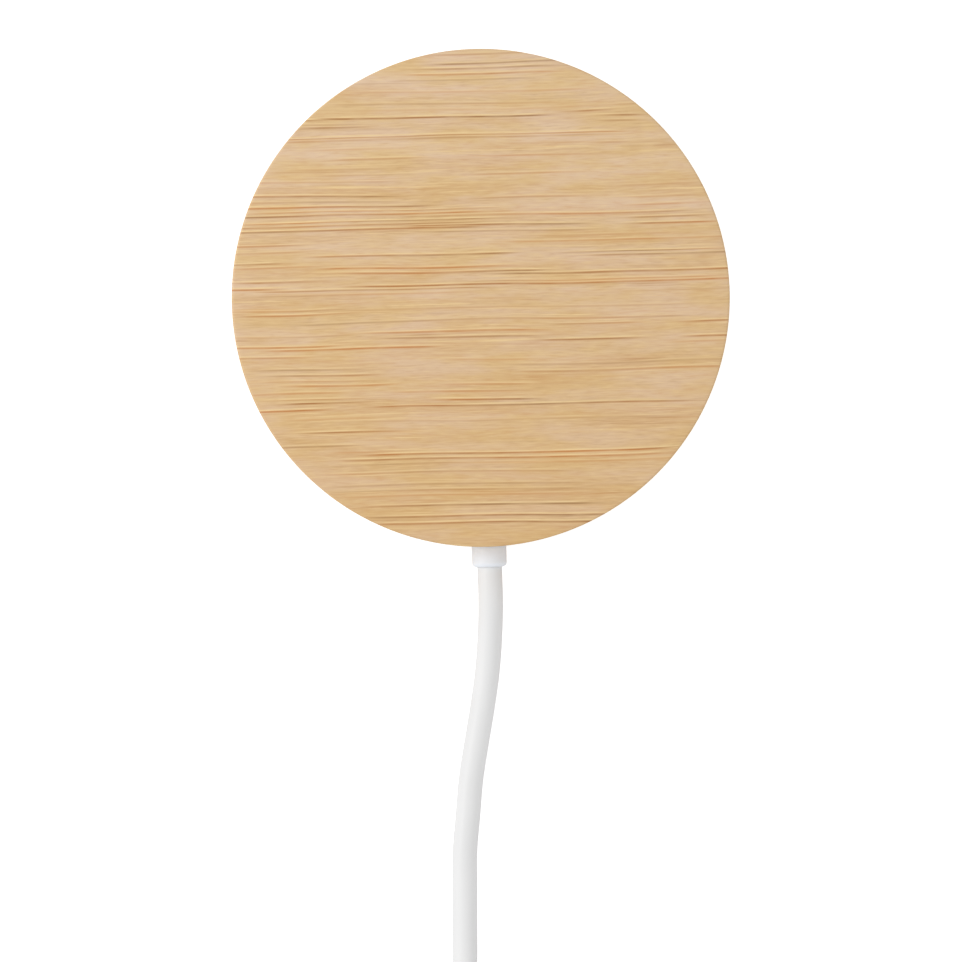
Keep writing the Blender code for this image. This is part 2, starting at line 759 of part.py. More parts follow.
def components():
    finishes = {"power_inductor": "ferrite", "crystal": "can_metal"}
    for name, (middle, size) in CHIPS.items():
        usual = "ceramic" if "capacitor" in name else "chip_resin"
        chip(name, middle, size, finishes.get(name, usual))
    for number in range(RESONANCE_CAPACITORS):
        x = (number - (RESONANCE_CAPACITORS - 1) / 2) * RESONANCE_PITCH
        name = f"resonance_capacitor_{number + 1}"
        chip(name, (x, RESONANCE_ROW_Y), RESONANCE_CAPACITOR, "ceramic")
    mesh = bpy.data.meshes.new("thermistor")
    work = bmesh.new()
    around, down = THERMISTOR_STEPS
    bmesh.ops.create_uvsphere(work, u_segments=around, v_segments=down, radius=THERMISTOR_RADIUS)
    work.to_mesh(mesh)
    work.free()
    bead = shade_round(place("thermistor", mesh, "thermistor_resin"))
    bead.location.z = BOARD_TOP + SEAT + THERMISTOR_RADIUS


def cord_grommet():
    """The moulded sleeve that the cord leaves through, held behind the wall by its flange."""
    profile = [(0.0, GROMMET_END)]
    for step in range(CORNER_STEPS + 1):
        angle = math.radians(90 * step / CORNER_STEPS)
        radius = GROMMET_RADIUS - GROMMET_ROUND * (1 - math.sin(angle))
        profile.append((radius, GROMMET_END - GROMMET_ROUND * (1 - math.cos(angle))))
    profile += [
        (GROMMET_RADIUS, FLANGE_OUTER_FACE),
        (FLANGE_RADIUS, FLANGE_OUTER_FACE),
        (FLANGE_RADIUS, FLANGE_INNER_FACE),
        (0.0, FLANGE_INNER_FACE),
    ]
    outwards(turned("cord_grommet", profile, "cord_plastic", SMALL_STEPS), EXIT_HEIGHT)


def inner_leads():
    """The end of the cord's jacket inside the pad, and its four leads to the board's pads."""
    jacket = disc("cord_inner_end", CORD_RADIUS, JACKET_END, JACKET_START, "cord_plastic", SMALL_STEPS)
    outwards(jacket, EXIT_HEIGHT)
    start_y = -(JACKET_END - FIT)
    end_y = -(BOARD_RADIUS - PAD_INSET)
    pad_height = BOARD_BOTTOM - SEAT - LEAD_DIAMETER / 2
    ends = {
        # lead: side of the cord, and up or down in it
        "lead_red": (-1, 1),
        "lead_white": (-1, -1),
        "lead_green": (1, -1),
        "lead_black": (1, 1),
    }
    for name, (side, level) in ends.items():
        pad_x = side * PAD_PITCH * (1.5 if level > 0 else 0.5)
        start = Vector((side * LEAD_SPREAD, start_y, EXIT_HEIGHT + level * LEAD_SPREAD))
        end = Vector((pad_x, end_y, pad_height))
        edge = Vector((pad_x * 0.9, -(BOARD_RADIUS + LEAD_DIAMETER), pad_height))
        straight = start + Vector((0.0, LEAD_DIAMETER, 0.0))
        tube(name, [start, *smooth_path([straight, edge, end], 4)], LEAD_DIAMETER / 2, name)


def from_grommet(x, y, height):
    """A point given in millimetres from the middle of the grommet's outer face."""
    return Vector((x * MM, y * MM - GROMMET_END, height))


def keep_clear_of_coil(path):
    """The part of the path that the tube can take: it stops a gap before the coil's ring."""
    centre = from_grommet(*COIL_CENTRE, 0.0)
    clear = RING_OUTER + CORD_RADIUS + CORD_GAP
    return [point for point in path if (point - centre).xy.length > clear]


def cord():
    """The cord as it lies, from the grommet to the coil and from the coil to the plug."""
    centre = from_grommet(*COIL_CENTRE, 0.0)
    drop = EXIT_HEIGHT - CORD_RADIUS
    points = [from_grommet(x, y, CORD_RADIUS + drop * left) for x, y, left in CORD_ROUTE]
    entry = on_circle(OUTER_TURN_RADIUS, ENTRY_ANGLE, CORD_RADIUS)
    path = keep_clear_of_coil(smooth_path([*points, centre + entry]))
    tube("cord", spaced(path, CORD_SPACING), CORD_RADIUS, "cord_plastic")

    leaving = on_circle(OUTER_TURN_RADIUS, EXIT_ANGLE, CORD_RADIUS + TURN_PITCH)
    points = [from_grommet(x, y, CORD_RADIUS + TURN_PITCH * layers) for x, y, layers in TAIL_ROUTE]
    end = from_grommet(*PLUG_START, PLUG_AXIS_HEIGHT) + Vector((0.0, CORD_GAP, 0.0))
    straight = end + Vector((0.0, CORD_RADIUS, 0.0))
    path = keep_clear_of_coil(smooth_path([centre + leaving, *points, straight]))
    tail = [*spaced(path, CORD_SPACING), end]
    tube("cord_tail", tail, CORD_RADIUS, "cord_plastic")


def cord_coil():
    """The wound part of the cord as one ring, notched below where the tie passes under it."""
    centre = from_grommet(*COIL_CENTRE, 0.0)
    profile = rounded_loop(RING_INNER, RING_OUTER, 0.0, RING_TOP, CORD_RADIUS * 0.9)
    coil = turned("cord_coil", profile, "cord_plastic", INNER_STEPS, closed=True)
    coil.location = centre
    half = TIE_WIDTH / 2 + TIE_GAP
    notch_low = (RING_INNER - CUT_THROUGH, -half, -CUT_THROUGH)
    notch_high = (RING_OUTER + CUT_THROUGH, half, TIE_THICKNESS + TIE_GAP)
    notch = block("tie_notch", notch_low, notch_high, None)
    notch.rotation_euler.z = math.radians(TIE_ANGLE)
    notch.location = centre
    bpy.context.view_layer.update()
    shade_round(cut(coil, notch))


def cord_tie():
    """A strap once round the coil's section, flat where the ring curves away from it."""
    hollow = math.sqrt(RING_INNER**2 - (TIE_WIDTH / 2) ** 2) - TIE_GAP
    inner = rounded_loop(
        hollow,
        RING_OUTER + TIE_GAP,
        TIE_THICKNESS,
        RING_TOP + TIE_GAP,
        TIE_FOLD,
    )
    outer = rounded_loop(
        hollow - TIE_THICKNESS,
        RING_OUTER + TIE_GAP + TIE_THICKNESS,
        0.0,
        RING_TOP + TIE_GAP + TIE_THICKNESS,
        TIE_FOLD + TIE_THICKNESS,
    )
    tie = flat_outline("cord_tie", [outer, inner], TIE_WIDTH, "tie_fabric")
    outward = on_circle(1.0, TIE_ANGLE)
    up = Vector((0.0, 0.0, 1.0))
    turn = Matrix((outward, up, outward.cross(up))).transposed().to_4x4()
    tie.matrix_world = Matrix.Translation(from_grommet(*COIL_CENTRE, 0.0)) @ turn
    shade_round(tie)


def slot_loop(width, height):
    """A slot's outline, with ends that are half circles."""
    return rounded_loop(-width / 2, width / 2, -height / 2, height / 2, height / 2 * 0.999)


def plug():
    """The USB-C plug, on its flat side, pointing along -Y."""
    x, y = PLUG_START
    back = from_grommet(x, y, PLUG_AXIS_HEIGHT)
    relief = turned(
        "plug_strain_relief",
        [
            (0.0, RELIEF_LENGTH),
            (RELIEF_FRONT_RADIUS, RELIEF_LENGTH),
            (RELIEF_BACK_RADIUS, 0.0),
            (0.0, 0.0),
        ],
        "plug_plastic",
        SMALL_STEPS,
    )
    width, height, length = PLUG_BODY
    outline = rounded_loop(-width / 2, width / 2, -height / 2, height / 2, PLUG_CORNER)
    body = flat_outline("plug_body", [outline], length, "plug_plastic")
    bevel = body.modifiers.new("Ends", "BEVEL")
    bevel.width = PLUG_EDGE
    bevel.segments = 2
    bevel.limit_method = "ANGLE"
    bevel.angle_limit = math.radians(60)
    shade_round(as_mesh(body))

    shell_width, shell_height, shell_length = PLUG_SHELL
    bore = (shell_width - 2 * SHELL_WALL, shell_height - 2 * SHELL_WALL)
    shell = flat_outline(
        "plug_shell", [slot_loop(shell_width, shell_height), slot_loop(*bore)], shell_length, "plug_steel"
    )
    lining = (bore[0] - 2 * SEAT, bore[1] - 2 * SEAT)
    mouth = (lining[0] - 2 * LINING_WALL, lining[1] - 2 * LINING_WALL)
    lining_length = shell_length - LINING_SETBACK
    liner = flat_outline(
        "plug_insulator", [slot_loop(*lining), slot_loop(*mouth)], lining_length, "contact_resin"
    )
    body_start = RELIEF_LENGTH + SEAT
    shell_start = body_start + length + SEAT
    stations = {
        relief: 0.0,
        body: body_start + length / 2,
        shade_round(shell): shell_start + shell_length / 2,
        liner: shell_start + lining_length / 2,
    }
    for piece, station in stations.items():
        piece.rotation_euler = (math.radians(90), 0.0, 0.0)
        piece.location = back - Vector((0.0, station, 0.0))


clear_scene()
PARTS = new_collection("wireless_charging_pad")
CUTTERS = new_collection("cutters", hidden=True)
pocket_cutters = grommet_pocket()
bamboo_cover()
base_cover(pocket_cutters)
ring("anti_slip_ring", FOOT_INNER, FOOT_OUTER, 0.0, FOOT_THICKNESS, "silicone", PAD_STEPS)
cover_screws()
slot_cutter = lead_slot()
coil_carrier((*pocket_cutters, slot_cutter))
disc("adhesive_disc", SHELL_RADIUS - FIT, TAPE_BOTTOM, TAPE_TOP, "adhesive_tape", INNER_STEPS)
ferrite_sheet(slot_cutter)
transmit_coil()
magnets()
circuit_board()
components()
cord_grommet()
inner_leads()
cord()
cord_coil()
cord_tie()
plug()
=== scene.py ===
# %% [markdown]
# # A bamboo wireless charging pad and its cord
# The pad is a round puck turned from bamboo. Its cord leaves through a moulded sleeve, lies on the
# table and is wound up beside its USB-C plug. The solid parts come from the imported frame. This file
# gives them their finish and swaps the visible ones for smoother pieces of the same size.

import json
import math

import bmesh
import bpy
import numpy as np
from mathutils import Matrix, Vector


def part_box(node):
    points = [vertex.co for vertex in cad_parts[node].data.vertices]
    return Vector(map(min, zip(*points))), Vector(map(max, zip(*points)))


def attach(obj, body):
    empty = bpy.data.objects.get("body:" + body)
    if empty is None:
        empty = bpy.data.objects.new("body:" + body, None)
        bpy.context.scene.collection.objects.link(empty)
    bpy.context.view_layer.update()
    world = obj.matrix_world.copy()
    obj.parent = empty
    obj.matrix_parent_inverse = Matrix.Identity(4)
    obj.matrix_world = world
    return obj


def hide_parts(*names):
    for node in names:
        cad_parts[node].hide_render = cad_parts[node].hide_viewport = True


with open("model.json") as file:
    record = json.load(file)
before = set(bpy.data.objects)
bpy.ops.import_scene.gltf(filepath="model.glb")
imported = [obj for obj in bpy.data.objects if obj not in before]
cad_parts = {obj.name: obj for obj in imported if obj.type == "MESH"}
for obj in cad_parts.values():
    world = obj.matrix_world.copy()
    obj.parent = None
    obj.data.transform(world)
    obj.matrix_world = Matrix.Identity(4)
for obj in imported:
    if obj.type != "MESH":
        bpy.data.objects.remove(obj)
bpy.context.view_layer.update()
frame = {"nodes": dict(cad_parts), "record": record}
MM = 0.001
BODY = "root"
scene = bpy.context.scene
scene.view_settings.view_transform = "Standard"


def size_of(node):
    """Lowest and highest corner of a node, and its middle."""
    low, high = (Vector(corner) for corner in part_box(node))
    return low, high, (low + high) / 2


# %% [markdown]
# ## Camera
# The pad is seen from straight above, from far enough away that no side wall shows. The pad lies
# turned by about two degrees, so the camera is rolled by that much instead of the model.

# %% Camera
ROLL = math.radians(-1.9)
CAMERA_HEIGHT = 0.7
VIEW_WIDTH = 115.8 * MM
VIEW_CENTRE = Vector((-0.7 * MM, -22.05 * MM, 0.0))
SENSOR = 36.0
pad_low, pad_high, _ = size_of("bamboo_cover")
PAD_RADIUS = (pad_high.x - pad_low.x) / 2

camera_data = bpy.data.cameras.new("camera_above")
camera_data.sensor_width = SENSOR
camera_data.lens = SENSOR * (CAMERA_HEIGHT - pad_high.z) / VIEW_WIDTH
camera_data.clip_start = 0.01
camera = bpy.data.objects.new("camera_above", camera_data)
camera.location = VIEW_CENTRE + Vector((0.0, 0.0, CAMERA_HEIGHT))
camera.rotation_euler = (0.0, 0.0, ROLL)
scene.collection.objects.link(camera)
scene.camera = camera
print("lens", round(camera_data.lens, 1), "mm; pad radius", round(PAD_RADIUS / MM, 2), "mm")

# %% [markdown]
# ## Mesh helpers
# The cord, the strap and the plug are swept: rings of points along a line, joined by quads.
# One function joins the rings. The others give outlines and cut one mesh from another.

# %% Mesh helpers


def add_piece(name, mesh, smooth_below=40.0):
    """Puts a mesh in the scene as a piece that rides on the pad's only body."""
    mesh.shade_smooth()
    if smooth_below is not None:
        mesh.set_sharp_from_angle(angle=math.radians(smooth_below))
    piece = bpy.data.objects.new(name, mesh)
    scene.collection.objects.link(piece)
    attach(piece, BODY)
    return piece


def joined_rings(name, rings, closed_row=False, caps=True):
    """Quads between neighbouring rings of equally many points, with a face on each end."""
    count = len(rings[0])
    mesh = bpy.data.meshes.new(name)
    work = bmesh.new()
    rows = [[work.verts.new(point) for point in ring] for ring in rings]
    pairs = list(zip(rows, rows[1:]))
    if closed_row:
        pairs.append((rows[-1], rows[0]))
    for lower, upper in pairs:
        for i in range(count):
            j = (i + 1) % count
            work.faces.new((lower[i], lower[j], upper[j], upper[i]))
    if caps and not closed_row:
        work.faces.new(list(reversed(rows[0])))
        work.faces.new(rows[-1])
    bmesh.ops.remove_doubles(work, verts=work.verts, dist=1e-7)
    bmesh.ops.recalc_face_normals(work, faces=work.faces)
    work.to_mesh(mesh)
    work.free()
    return mesh


def joined(name, meshes):
    """Meshes of one finish as one mesh, with the faces pointing outwards."""
    work = bmesh.new()
    for mesh in meshes:
        work.from_mesh(mesh)
    bmesh.ops.recalc_face_normals(work, faces=work.faces)
    result = bpy.data.meshes.new(name)
    work.to_mesh(result)
    work.free()
    for material in meshes[0].materials:
        result.materials.append(material)
    return result


def arc(centre, radius, start, end, steps):
    """Points (x, y) on part of a circle, angles in degrees."""
    points = []
    for step in range(steps + 1):
        angle = math.radians(start + (end - start) * step / steps)
        out, up = radius * math.cos(angle), radius * math.sin(angle)
        points.append((centre[0] + out, centre[1] + up))
    return points


def rounded_rectangle(width, height, radius, steps):
    """Points anticlockwise round a rectangle centred on zero."""
    x, y = width / 2 - radius, height / 2 - radius
    points = []
    for cx, cy, start in ((x, y, 0), (-x, y, 90), (-x, -y, 180), (x, -y, 270)):
        points += arc((cx, cy), radius, start, start + 90, steps)
    return points


def cut(piece_mesh, cutter_mesh):
    """The first mesh with the second taken away."""
    body = bpy.data.objects.new("cut_body", piece_mesh)
    tool = bpy.data.objects.new("cut_tool", cutter_mesh)
    for obj in (body, tool):
        scene.collection.objects.link(obj)
    boolean = body.modifiers.new("Cut", "BOOLEAN")
    boolean.operation = "DIFFERENCE"
    boolean.solver = "EXACT"
    boolean.object = tool
    graph = bpy.context.evaluated_depsgraph_get()
    result = bpy.data.meshes.new_from_object(body.evaluated_get(graph))
    for obj in (body, tool):
        bpy.data.objects.remove(obj)
    return result


# %% [markdown]
# ## The cord's route
# A cord is a fixed length of something that bends, so its line is settled first. It leaves the
# sleeve level, sinks to the table within a few diameters, swings once to the left and back, and
# runs on to the coil. The points are the ones the solid model uses.

# %% The cord's route
grommet_low, grommet_high, grommet_middle = size_of("cord_grommet")
ring_low, ring_high, ring_middle = size_of("cord_coil")
_, tie_high, _ = size_of("cord_tie")
relief_low, relief_high, relief_middle = size_of("plug_strain_relief")
CORD_DIAMETER = 3.0 * MM
CORD_RADIUS = CORD_DIAMETER / 2
EXIT = Vector((0.0, grommet_low.y, grommet_middle.z))
TURN_GAP = 0.06 * MM
TURN_PITCH = CORD_DIAMETER + TURN_GAP
OUTER_TURN_RADIUS = (ring_high.x - ring_low.x) / 2 - CORD_RADIUS
ENTRY_ANGLE, EXIT_ANGLE, TIE_ANGLE = 160.0, 95.0, 300.0
WHOLE_TURNS = 8
TURNS = WHOLE_TURNS - (ENTRY_ANGLE - EXIT_ANGLE) / 360
TIE_THICKNESS = 0.7 * MM
# the turns rise over the tie within this many degrees of it
TIE_REACH = 60.0
# how far back the jacket starts in the sleeve, and how far it goes into the plug
SLEEVE_DEPTHS = (5.3 * MM, 3.0 * MM, 1.2 * MM)
PLUG_DEPTH = 3.0 * MM
coil_centre = Vector((ring_middle.x, ring_middle.y, 0.0))

# x and y in metres from the middle of the sleeve's outer face, then the share of the drop left
CORD_ROUTE = (
    (0.0, -0.0003, 1.0),
    (0.0, -0.004, 0.9),
    (-0.00023, -0.0083, 0.62),
    (-0.00068, -0.0126, 0.3),
    (-0.00144, -0.0171, 0.08),
    (-0.0023, -0.0214, 0.0),
    (-0.00312, -0.0258, 0.0),
    (-0.00363, -0.0301, 0.0),
    (-0.00414, -0.0345, 0.0),
    (-0.00429, -0.0388, 0.0),
    (-0.0044, -0.0421, 0.0),
    (-0.00459, -0.048, 0.0),
    (-0.00495, -0.054, 0.0),
    (-0.00575, -0.06, 0.0),
    (-0.00695, -0.0655, 0.0),
)
# the third number here is the height, in layers of cord
TAIL_ROUTE = (
    (0.0065, -0.0553, 1.04),
    (0.001, -0.0558, 1.1),
    (-0.0049, -0.0567, 1.1),
    (-0.0102, -0.0583, 0.8),
    (-0.0148, -0.0612, 0.38),
    (-0.0182, -0.0653, 0.08),
    (-0.0203, -0.0704, 0.08),
    (-0.0209, -0.0754, 0.36),
)


def beyond_sleeve(x, y, height):
    return Vector((EXIT.x + x, EXIT.y + y, height))


def smooth_path(points, steps):
    """Close-set points on a smooth curve through the points (Catmull-Rom)."""
    ends = [2 * points[0] - points[1], *points, 2 * points[-1] - points[-2]]
    path = []
    for p0, p1, p2, p3 in zip(ends, ends[1:], ends[2:], ends[3:]):
        for step in range(steps):
            t = step / steps
            square = (2 * p0 - 5 * p1 + 4 * p2 - p3) * t**2
            cubic = (3 * p1 - p0 - 3 * p2 + p3) * t**3
            path.append(0.5 * (2 * p1 + (p2 - p0) * t + square + cubic))
    return [*path, points[-1]]


def coil_points(per_turn=24):
    """Two flat layers wound the same way: inwards on the table, one step up, outwards on top."""
    points = []
    half = TURNS / 2
    for step in range(int(TURNS * per_turn) + 1):
        turn = min(step / per_turn, TURNS)
        radius = OUTER_TURN_RADIUS - TURN_PITCH * min(turn, TURNS - turn)
        climb = min(max(2 * (turn - half) + 0.5, 0.0), 1.0)
        height = CORD_RADIUS + TURN_PITCH * climb * climb * (3 - 2 * climb)
        degrees = ENTRY_ANGLE + 360 * turn
        from_tie = abs((degrees - TIE_ANGLE + 180) % 360 - 180)
        if from_tie < TIE_REACH:
            height += TIE_THICKNESS * math.cos(math.radians(90 * from_tie / TIE_REACH)) ** 2
        x, y = arc((0.0, 0.0), radius, degrees, degrees, 1)[0]
        points.append(coil_centre + Vector((x, y, height)))
    return points


drop = EXIT.z - CORD_RADIUS
plug_axis = Vector((relief_middle.x, relief_high.y, relief_middle.z))
route = [beyond_sleeve(x, y, CORD_RADIUS + drop * left) for x, y, left in CORD_ROUTE]
tail = [beyond_sleeve(x, y, CORD_RADIUS + TURN_PITCH * layers) for x, y, layers in TAIL_ROUTE]
inside_sleeve = [Vector((0.0, EXIT.y + depth, EXIT.z)) for depth in SLEEVE_DEPTHS]
inside_plug = [plug_axis - Vector((0.0, depth, 0.0)) for depth in (0.0, PLUG_DEPTH)]
cord_path = smooth_path([*inside_sleeve, *route[1:], *coil_points(), *tail, *inside_plug], 4)
print("turns", round(TURNS, 2), "outer turn radius", round(OUTER_TURN_RADIUS / MM, 2), "mm")

# %% [markdown]
# ## The cord
# The jacket is a soft white plastic, extruded round. A ring of points is carried along the route
# without twisting, and a UV map follows it, so that marks on the jacket can run along the cord.

# %% The cord
JACKET_SIDES = 20


def swept(name, path, radius, sides):
    """A round tube along the path with closed ends, and a UV map in metres along and around it."""
    runs = [(b - a).normalized() for a, b in zip(path, path[1:])]
    between = [(a + b).normalized() for a, b in zip(runs, runs[1:])]
    tangents = [runs[0], *between, runs[-1]]
    side = Vector((1.0, 0.0, 0.0))
    rings = []
    for point, tangent in zip(path, tangents):
        side = (side - tangent * side.dot(tangent)).normalized()
        other = tangent.cross(side)
        circle = arc((0.0, 0.0), radius, 0.0, 360.0, sides)[:-1]
        rings.append([point + side * x + other * y for x, y in circle])
    mesh = joined_rings(name, rings)
    along = np.concatenate([[0.0], np.cumsum([(b - a).length for a, b in zip(path, path[1:])])])
    layer = mesh.uv_layers.new(name="along_cord")
    for polygon in mesh.polygons:
        ring = polygon.vertices[0] // sides
        for loop in polygon.loop_indices:
            vertex = mesh.loops[loop].vertex_index
            around = (vertex % sides) / sides
            if abs(vertex // sides - ring) > 1 or len(polygon.vertices) > 4:
                around = 0.0
            layer.data[loop].uv = (along[min(vertex // sides, len(path) - 1)], around)
    return mesh, float(along[-1])


cord_mesh, cord_length = swept("cord_jacket", cord_path, CORD_RADIUS, JACKET_SIDES)
cord = add_piece("cord_jacket", cord_mesh, None)
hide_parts("cord", "cord_tail", "cord_coil")
outside_length = cord_length - SLEEVE_DEPTHS[0] - PLUG_DEPTH
print("cord", round(outside_length, 3), "m outside,", len(cord_mesh.polygons), "faces")

# %% [markdown]
# ## Shader groups
# Effects that several finishes share are built once as node groups. A small helper adds nodes and
# links them, so that each group reads as a list of what it does.

# %% Shader helpers


def linear(red, green, blue):
    """A colour given as 0-255 screen values, as the linear numbers that shaders use."""
    channels = [value / 255 for value in (red, green, blue)]
    curved = [c / 12.92 if c < 0.04045 else ((c + 0.055) / 1.055) ** 2.4 for c in channels]
    return (*curved, 1.0)


def add_node(tree, kind, inputs=None, **settings):
    """Adds a node, sets its properties, then sets or links its inputs by name or number."""
    node = tree.nodes.new(kind)
    for key, value in settings.items():
        setattr(node, key, value)
    for key, value in (inputs or {}).items():
        socket = node.inputs[key]
        if isinstance(value, bpy.types.NodeSocket):
            tree.links.new(value, socket)
        else:
            socket.default_value = value
    return node


SOCKET_KINDS = {int: "Int", float: "Float", tuple: "Vector"}


def new_group(name, kind, inputs, outputs):
    """An empty node group with named sockets. Returns it with its input and output nodes.
    An input is given by its default value, or by its kind where it has none."""
    group = bpy.data.node_groups.new(name, kind)
    for socket_name, value in inputs.items():
        bare = isinstance(value, str)
        socket_type = "NodeSocket" + (value if bare else SOCKET_KINDS[type(value)])
        socket = group.interface.new_socket(socket_name, in_out="INPUT", socket_type=socket_type)
        if not bare:
            socket.default_value = value
    for socket_name, value in outputs.items():
        socket_type = "NodeSocket" + value
        group.interface.new_socket(socket_name, in_out="OUTPUT", socket_type=socket_type)
    return group, group.nodes.new("NodeGroupInput"), group.nodes.new("NodeGroupOutput")


def calculate(tree, operation, first, second=0.0, clamp=False):
    """A Math node's result."""
    settings = {"operation": operation, "use_clamp": clamp}
    return add_node(tree, "ShaderNodeMath", {0: first, 1: second}, **settings).outputs[0]


def vector_by(tree, operation, first, second):
    node = add_node(tree, "ShaderNodeVectorMath", {0: first, 1: second}, operation=operation)
    return node.outputs[0]


def scaled(tree, vector, factor):
    inputs = {0: vector, "Scale": factor}
    return add_node(tree, "ShaderNodeVectorMath", inputs, operation="SCALE").outputs[0]


def remap(tree, value, from_low, from_high, to_low, to_high, smooth=False):
    """A Map Range node's result, held inside its range."""
    inputs = {0: value, 1: from_low, 2: from_high, 3: to_low, 4: to_high}
    kind = "SMOOTHSTEP" if smooth else "LINEAR"
    return add_node(tree, "ShaderNodeMapRange", inputs, interpolation_type=kind).outputs["Result"]


def noise(tree, vector, scale, detail=2.0, roughness=0.5):
    """Noise of one scale, or of one scale for each axis, which stretches it."""
    if isinstance(scale, tuple):
        vector, scale = vector_by(tree, "MULTIPLY", vector, scale), 1.0
    inputs = {"Vector": vector, "Scale": scale, "Detail": detail, "Roughness": roughness}
    return add_node(tree, "ShaderNodeTexNoise", inputs).outputs[0]


def blend_colours(tree, factor, first, second):
    """A Mix node on colours. Its colours are inputs 6 and 7, after numbers and vectors."""
    inputs = {0: factor, 6: first, 7: second}
    return add_node(tree, "ShaderNodeMix", inputs, data_type="RGBA").outputs[2]


def placed_group(tree, group, inputs):
    """A node group placed in a material with its own values."""
    node = add_node(tree, "ShaderNodeGroup", node_tree=group)
    for socket_name, value in inputs.items():
        if isinstance(value, bpy.types.NodeSocket):
            tree.links.new(value, node.inputs[socket_name])
        else:
            node.inputs[socket_name].default_value = value
    return node


def surface(tree, shader, tone, gloss, height, strength, depth):
    """Links a finish's colour and roughness, and a bump of the given depth in mm."""
    inputs = {"Height": height, "Strength": strength, "Distance": depth * MM}
    bump = add_node(tree, "ShaderNodeBump", inputs)
    results = {"Base Color": tone, "Roughness": gloss, "Normal": bump.outputs[0]}
    for socket_name, value in results.items():
        tree.links.new(value, shader.inputs[socket_name])


# %% [markdown]
# ### Moulded and worn surfaces
# No moulded or pressed face is perfectly even: its gloss and tone drift over a few millimetres, and
# up close it has a fine texture from the tool. One group gives both, at a scale set per material.

# %% Surface grain group
def surface_grain_group():
    inputs = {"Vector": "Vector", "Texture scale": 3000.0}
    outputs = {"Drift": "Float", "Height": "Float"}
    tree, given, result = new_group("surface_grain", "ShaderNodeTree", inputs, outputs)
    drift = noise(tree, given.outputs["Vector"], 220.0, 3.0, 0.6)
    fine = noise(tree, given.outputs["Vector"], given.outputs["Texture scale"], 2.0)
    tree.links.new(remap(tree, drift, 0.3, 0.7, 0.0, 1.0), result.inputs["Drift"])
    tree.links.new(fine, result.inputs["Height"])
    return tree


SURFACE_GRAIN = surface_grain_group()
print("group:", SURFACE_GRAIN.name)

# %% [markdown]
# ### Bamboo
# Bamboo board is made of strips of the stem, with the fibres all running one way. The blond ground
# drifts slowly between a pinker and a yellower tone. Where a bundle of fibres comes to the surface
# it shows as a thin brown line with a paler line beside it, and each line fades at both ends. Wood
# is solid, so the pattern is worked out in space: the side wall shows the same lines end on.
#
# A pure noise would put lines everywhere. Real board has them in loose bands with clear ground
# between, so each band is listed: where it starts and ends along the fibres, and the place and
# strength of each line across them.

# %% Bamboo's fibre bundles
# from, to (mm along the fibres), then (mm across the fibres, strength 0-1) for each line
FIBRE_BANDS = (
    (-8, 13, ((29.5, 0.5), (28.4, 0.8), (27.8, 0.7), (27.1, 0.8), (26.4, 0.4))),
    (-17, 15, ((24.9, 0.35), (23.5, 0.4), (22.8, 0.25), (21.9, 1.0))),
    (-24, -12, ((21.7, 0.9), (21.25, 0.6), (20.9, 0.9))),
    (-25, 21, ((19.65, 0.8), (19.3, 0.5))),
    (13, 22, ((22.2, 0.9), (21.5, 0.9), (20.9, 0.6), (18.4, 0.5))),
    (-22, -7, ((18.2, 0.3), (17.0, 0.6), (15.9, 0.35), (15.2, 0.35))),
    (-2, 16, ((17.1, 0.5), (14.9, 0.5), (12.1, 0.5))),
    (-33, -7, ((14.4, 0.4), (12.7, 0.8), (12.0, 0.4), (11.4, 0.9))),
    (-33, 2, ((10.8, 0.7), (10.4, 0.9), (9.5, 1.0), (9.1, 0.7), (8.55, 1.0))),
    (-11, 15, ((10.0, 0.5), (8.8, 0.9), (8.0, 0.5))),
    (15, 29, ((13.2, 0.3), (11.8, 0.5), (10.9, 0.5), (9.4, 0.7), (8.6, 1.0))),
    (2, 25, ((10.0, 0.8), (7.3, 0.3), (6.6, 0.6))),
    (-21, 8, ((5.2, 0.9), (3.7, 0.9), (3.1, 0.9))),
    (10, 33, ((6.6, 0.4), (5.1, 0.9), (4.7, 0.7))),
    (-2, 34, ((2.75, 0.9), (1.9, 0.6))),
    (-15, 34, ((1.6, 1.0),)),
    (-34, -19, ((6.8, 0.6), (5.9, 0.5), (4.5, 0.8), (4.0, 0.5), (2.3, 0.8), (1.5, 0.9))),
    (-28, 2, ((1.2, 0.7), (0.7, 0.4))),
    (-33, -15, ((-1.0, 0.6), (-1.5, 0.8), (-4.2, 0.4), (-5.5, 0.9), (-6.8, 0.6))),
    (-22, 28, ((-1.2, 0.3), (-2.7, 0.5))),
    (-27, -2, ((-5.9, 1.0),)),
    (-16, 8, ((-4.1, 0.9), (-4.8, 0.8))),
    (5, 22, ((-3.4, 0.6), (-5.3, 0.9))),
    (23, 34, ((-3.5, 0.9), (-5.3, 0.9), (-5.9, 0.4))),
    (2, 33, ((-8.1, 0.4), (-8.9, 0.6))),
    (-28, -11, ((-8.3, 0.6), (-9.0, 0.7), (-9.7, 0.6), (-10.2, 0.7), (-11.0, 0.6))),
    (-9, 8, ((-7.5, 0.4), (-10.4, 0.6), (-11.2, 0.6), (-12.2, 1.0))),
    (-28, -13, ((-11.8, 0.7), (-12.2, 1.0), (-13.0, 1.0))),
    (-12, 28, ((-12.9, 0.9),)),
    (-25, -10, ((-14.2, 0.4), (-15.9, 0.9), (-17.5, 0.6))),
    (-18, 26, ((-14.7, 0.3), (-18.6, 1.0), (-19.2, 0.9), (-19.8, 0.4))),
    (-20, 14, ((-20.9, 0.5), (-22.4, 0.5), (-23.1, 0.5), (-23.7, 0.4))),
    (-16, 17, ((-24.9, 0.9), (-26.2, 1.0), (-27.0, 0.9))),
)
line_count = sum(len(lines) for _, _, lines in FIBRE_BANDS)
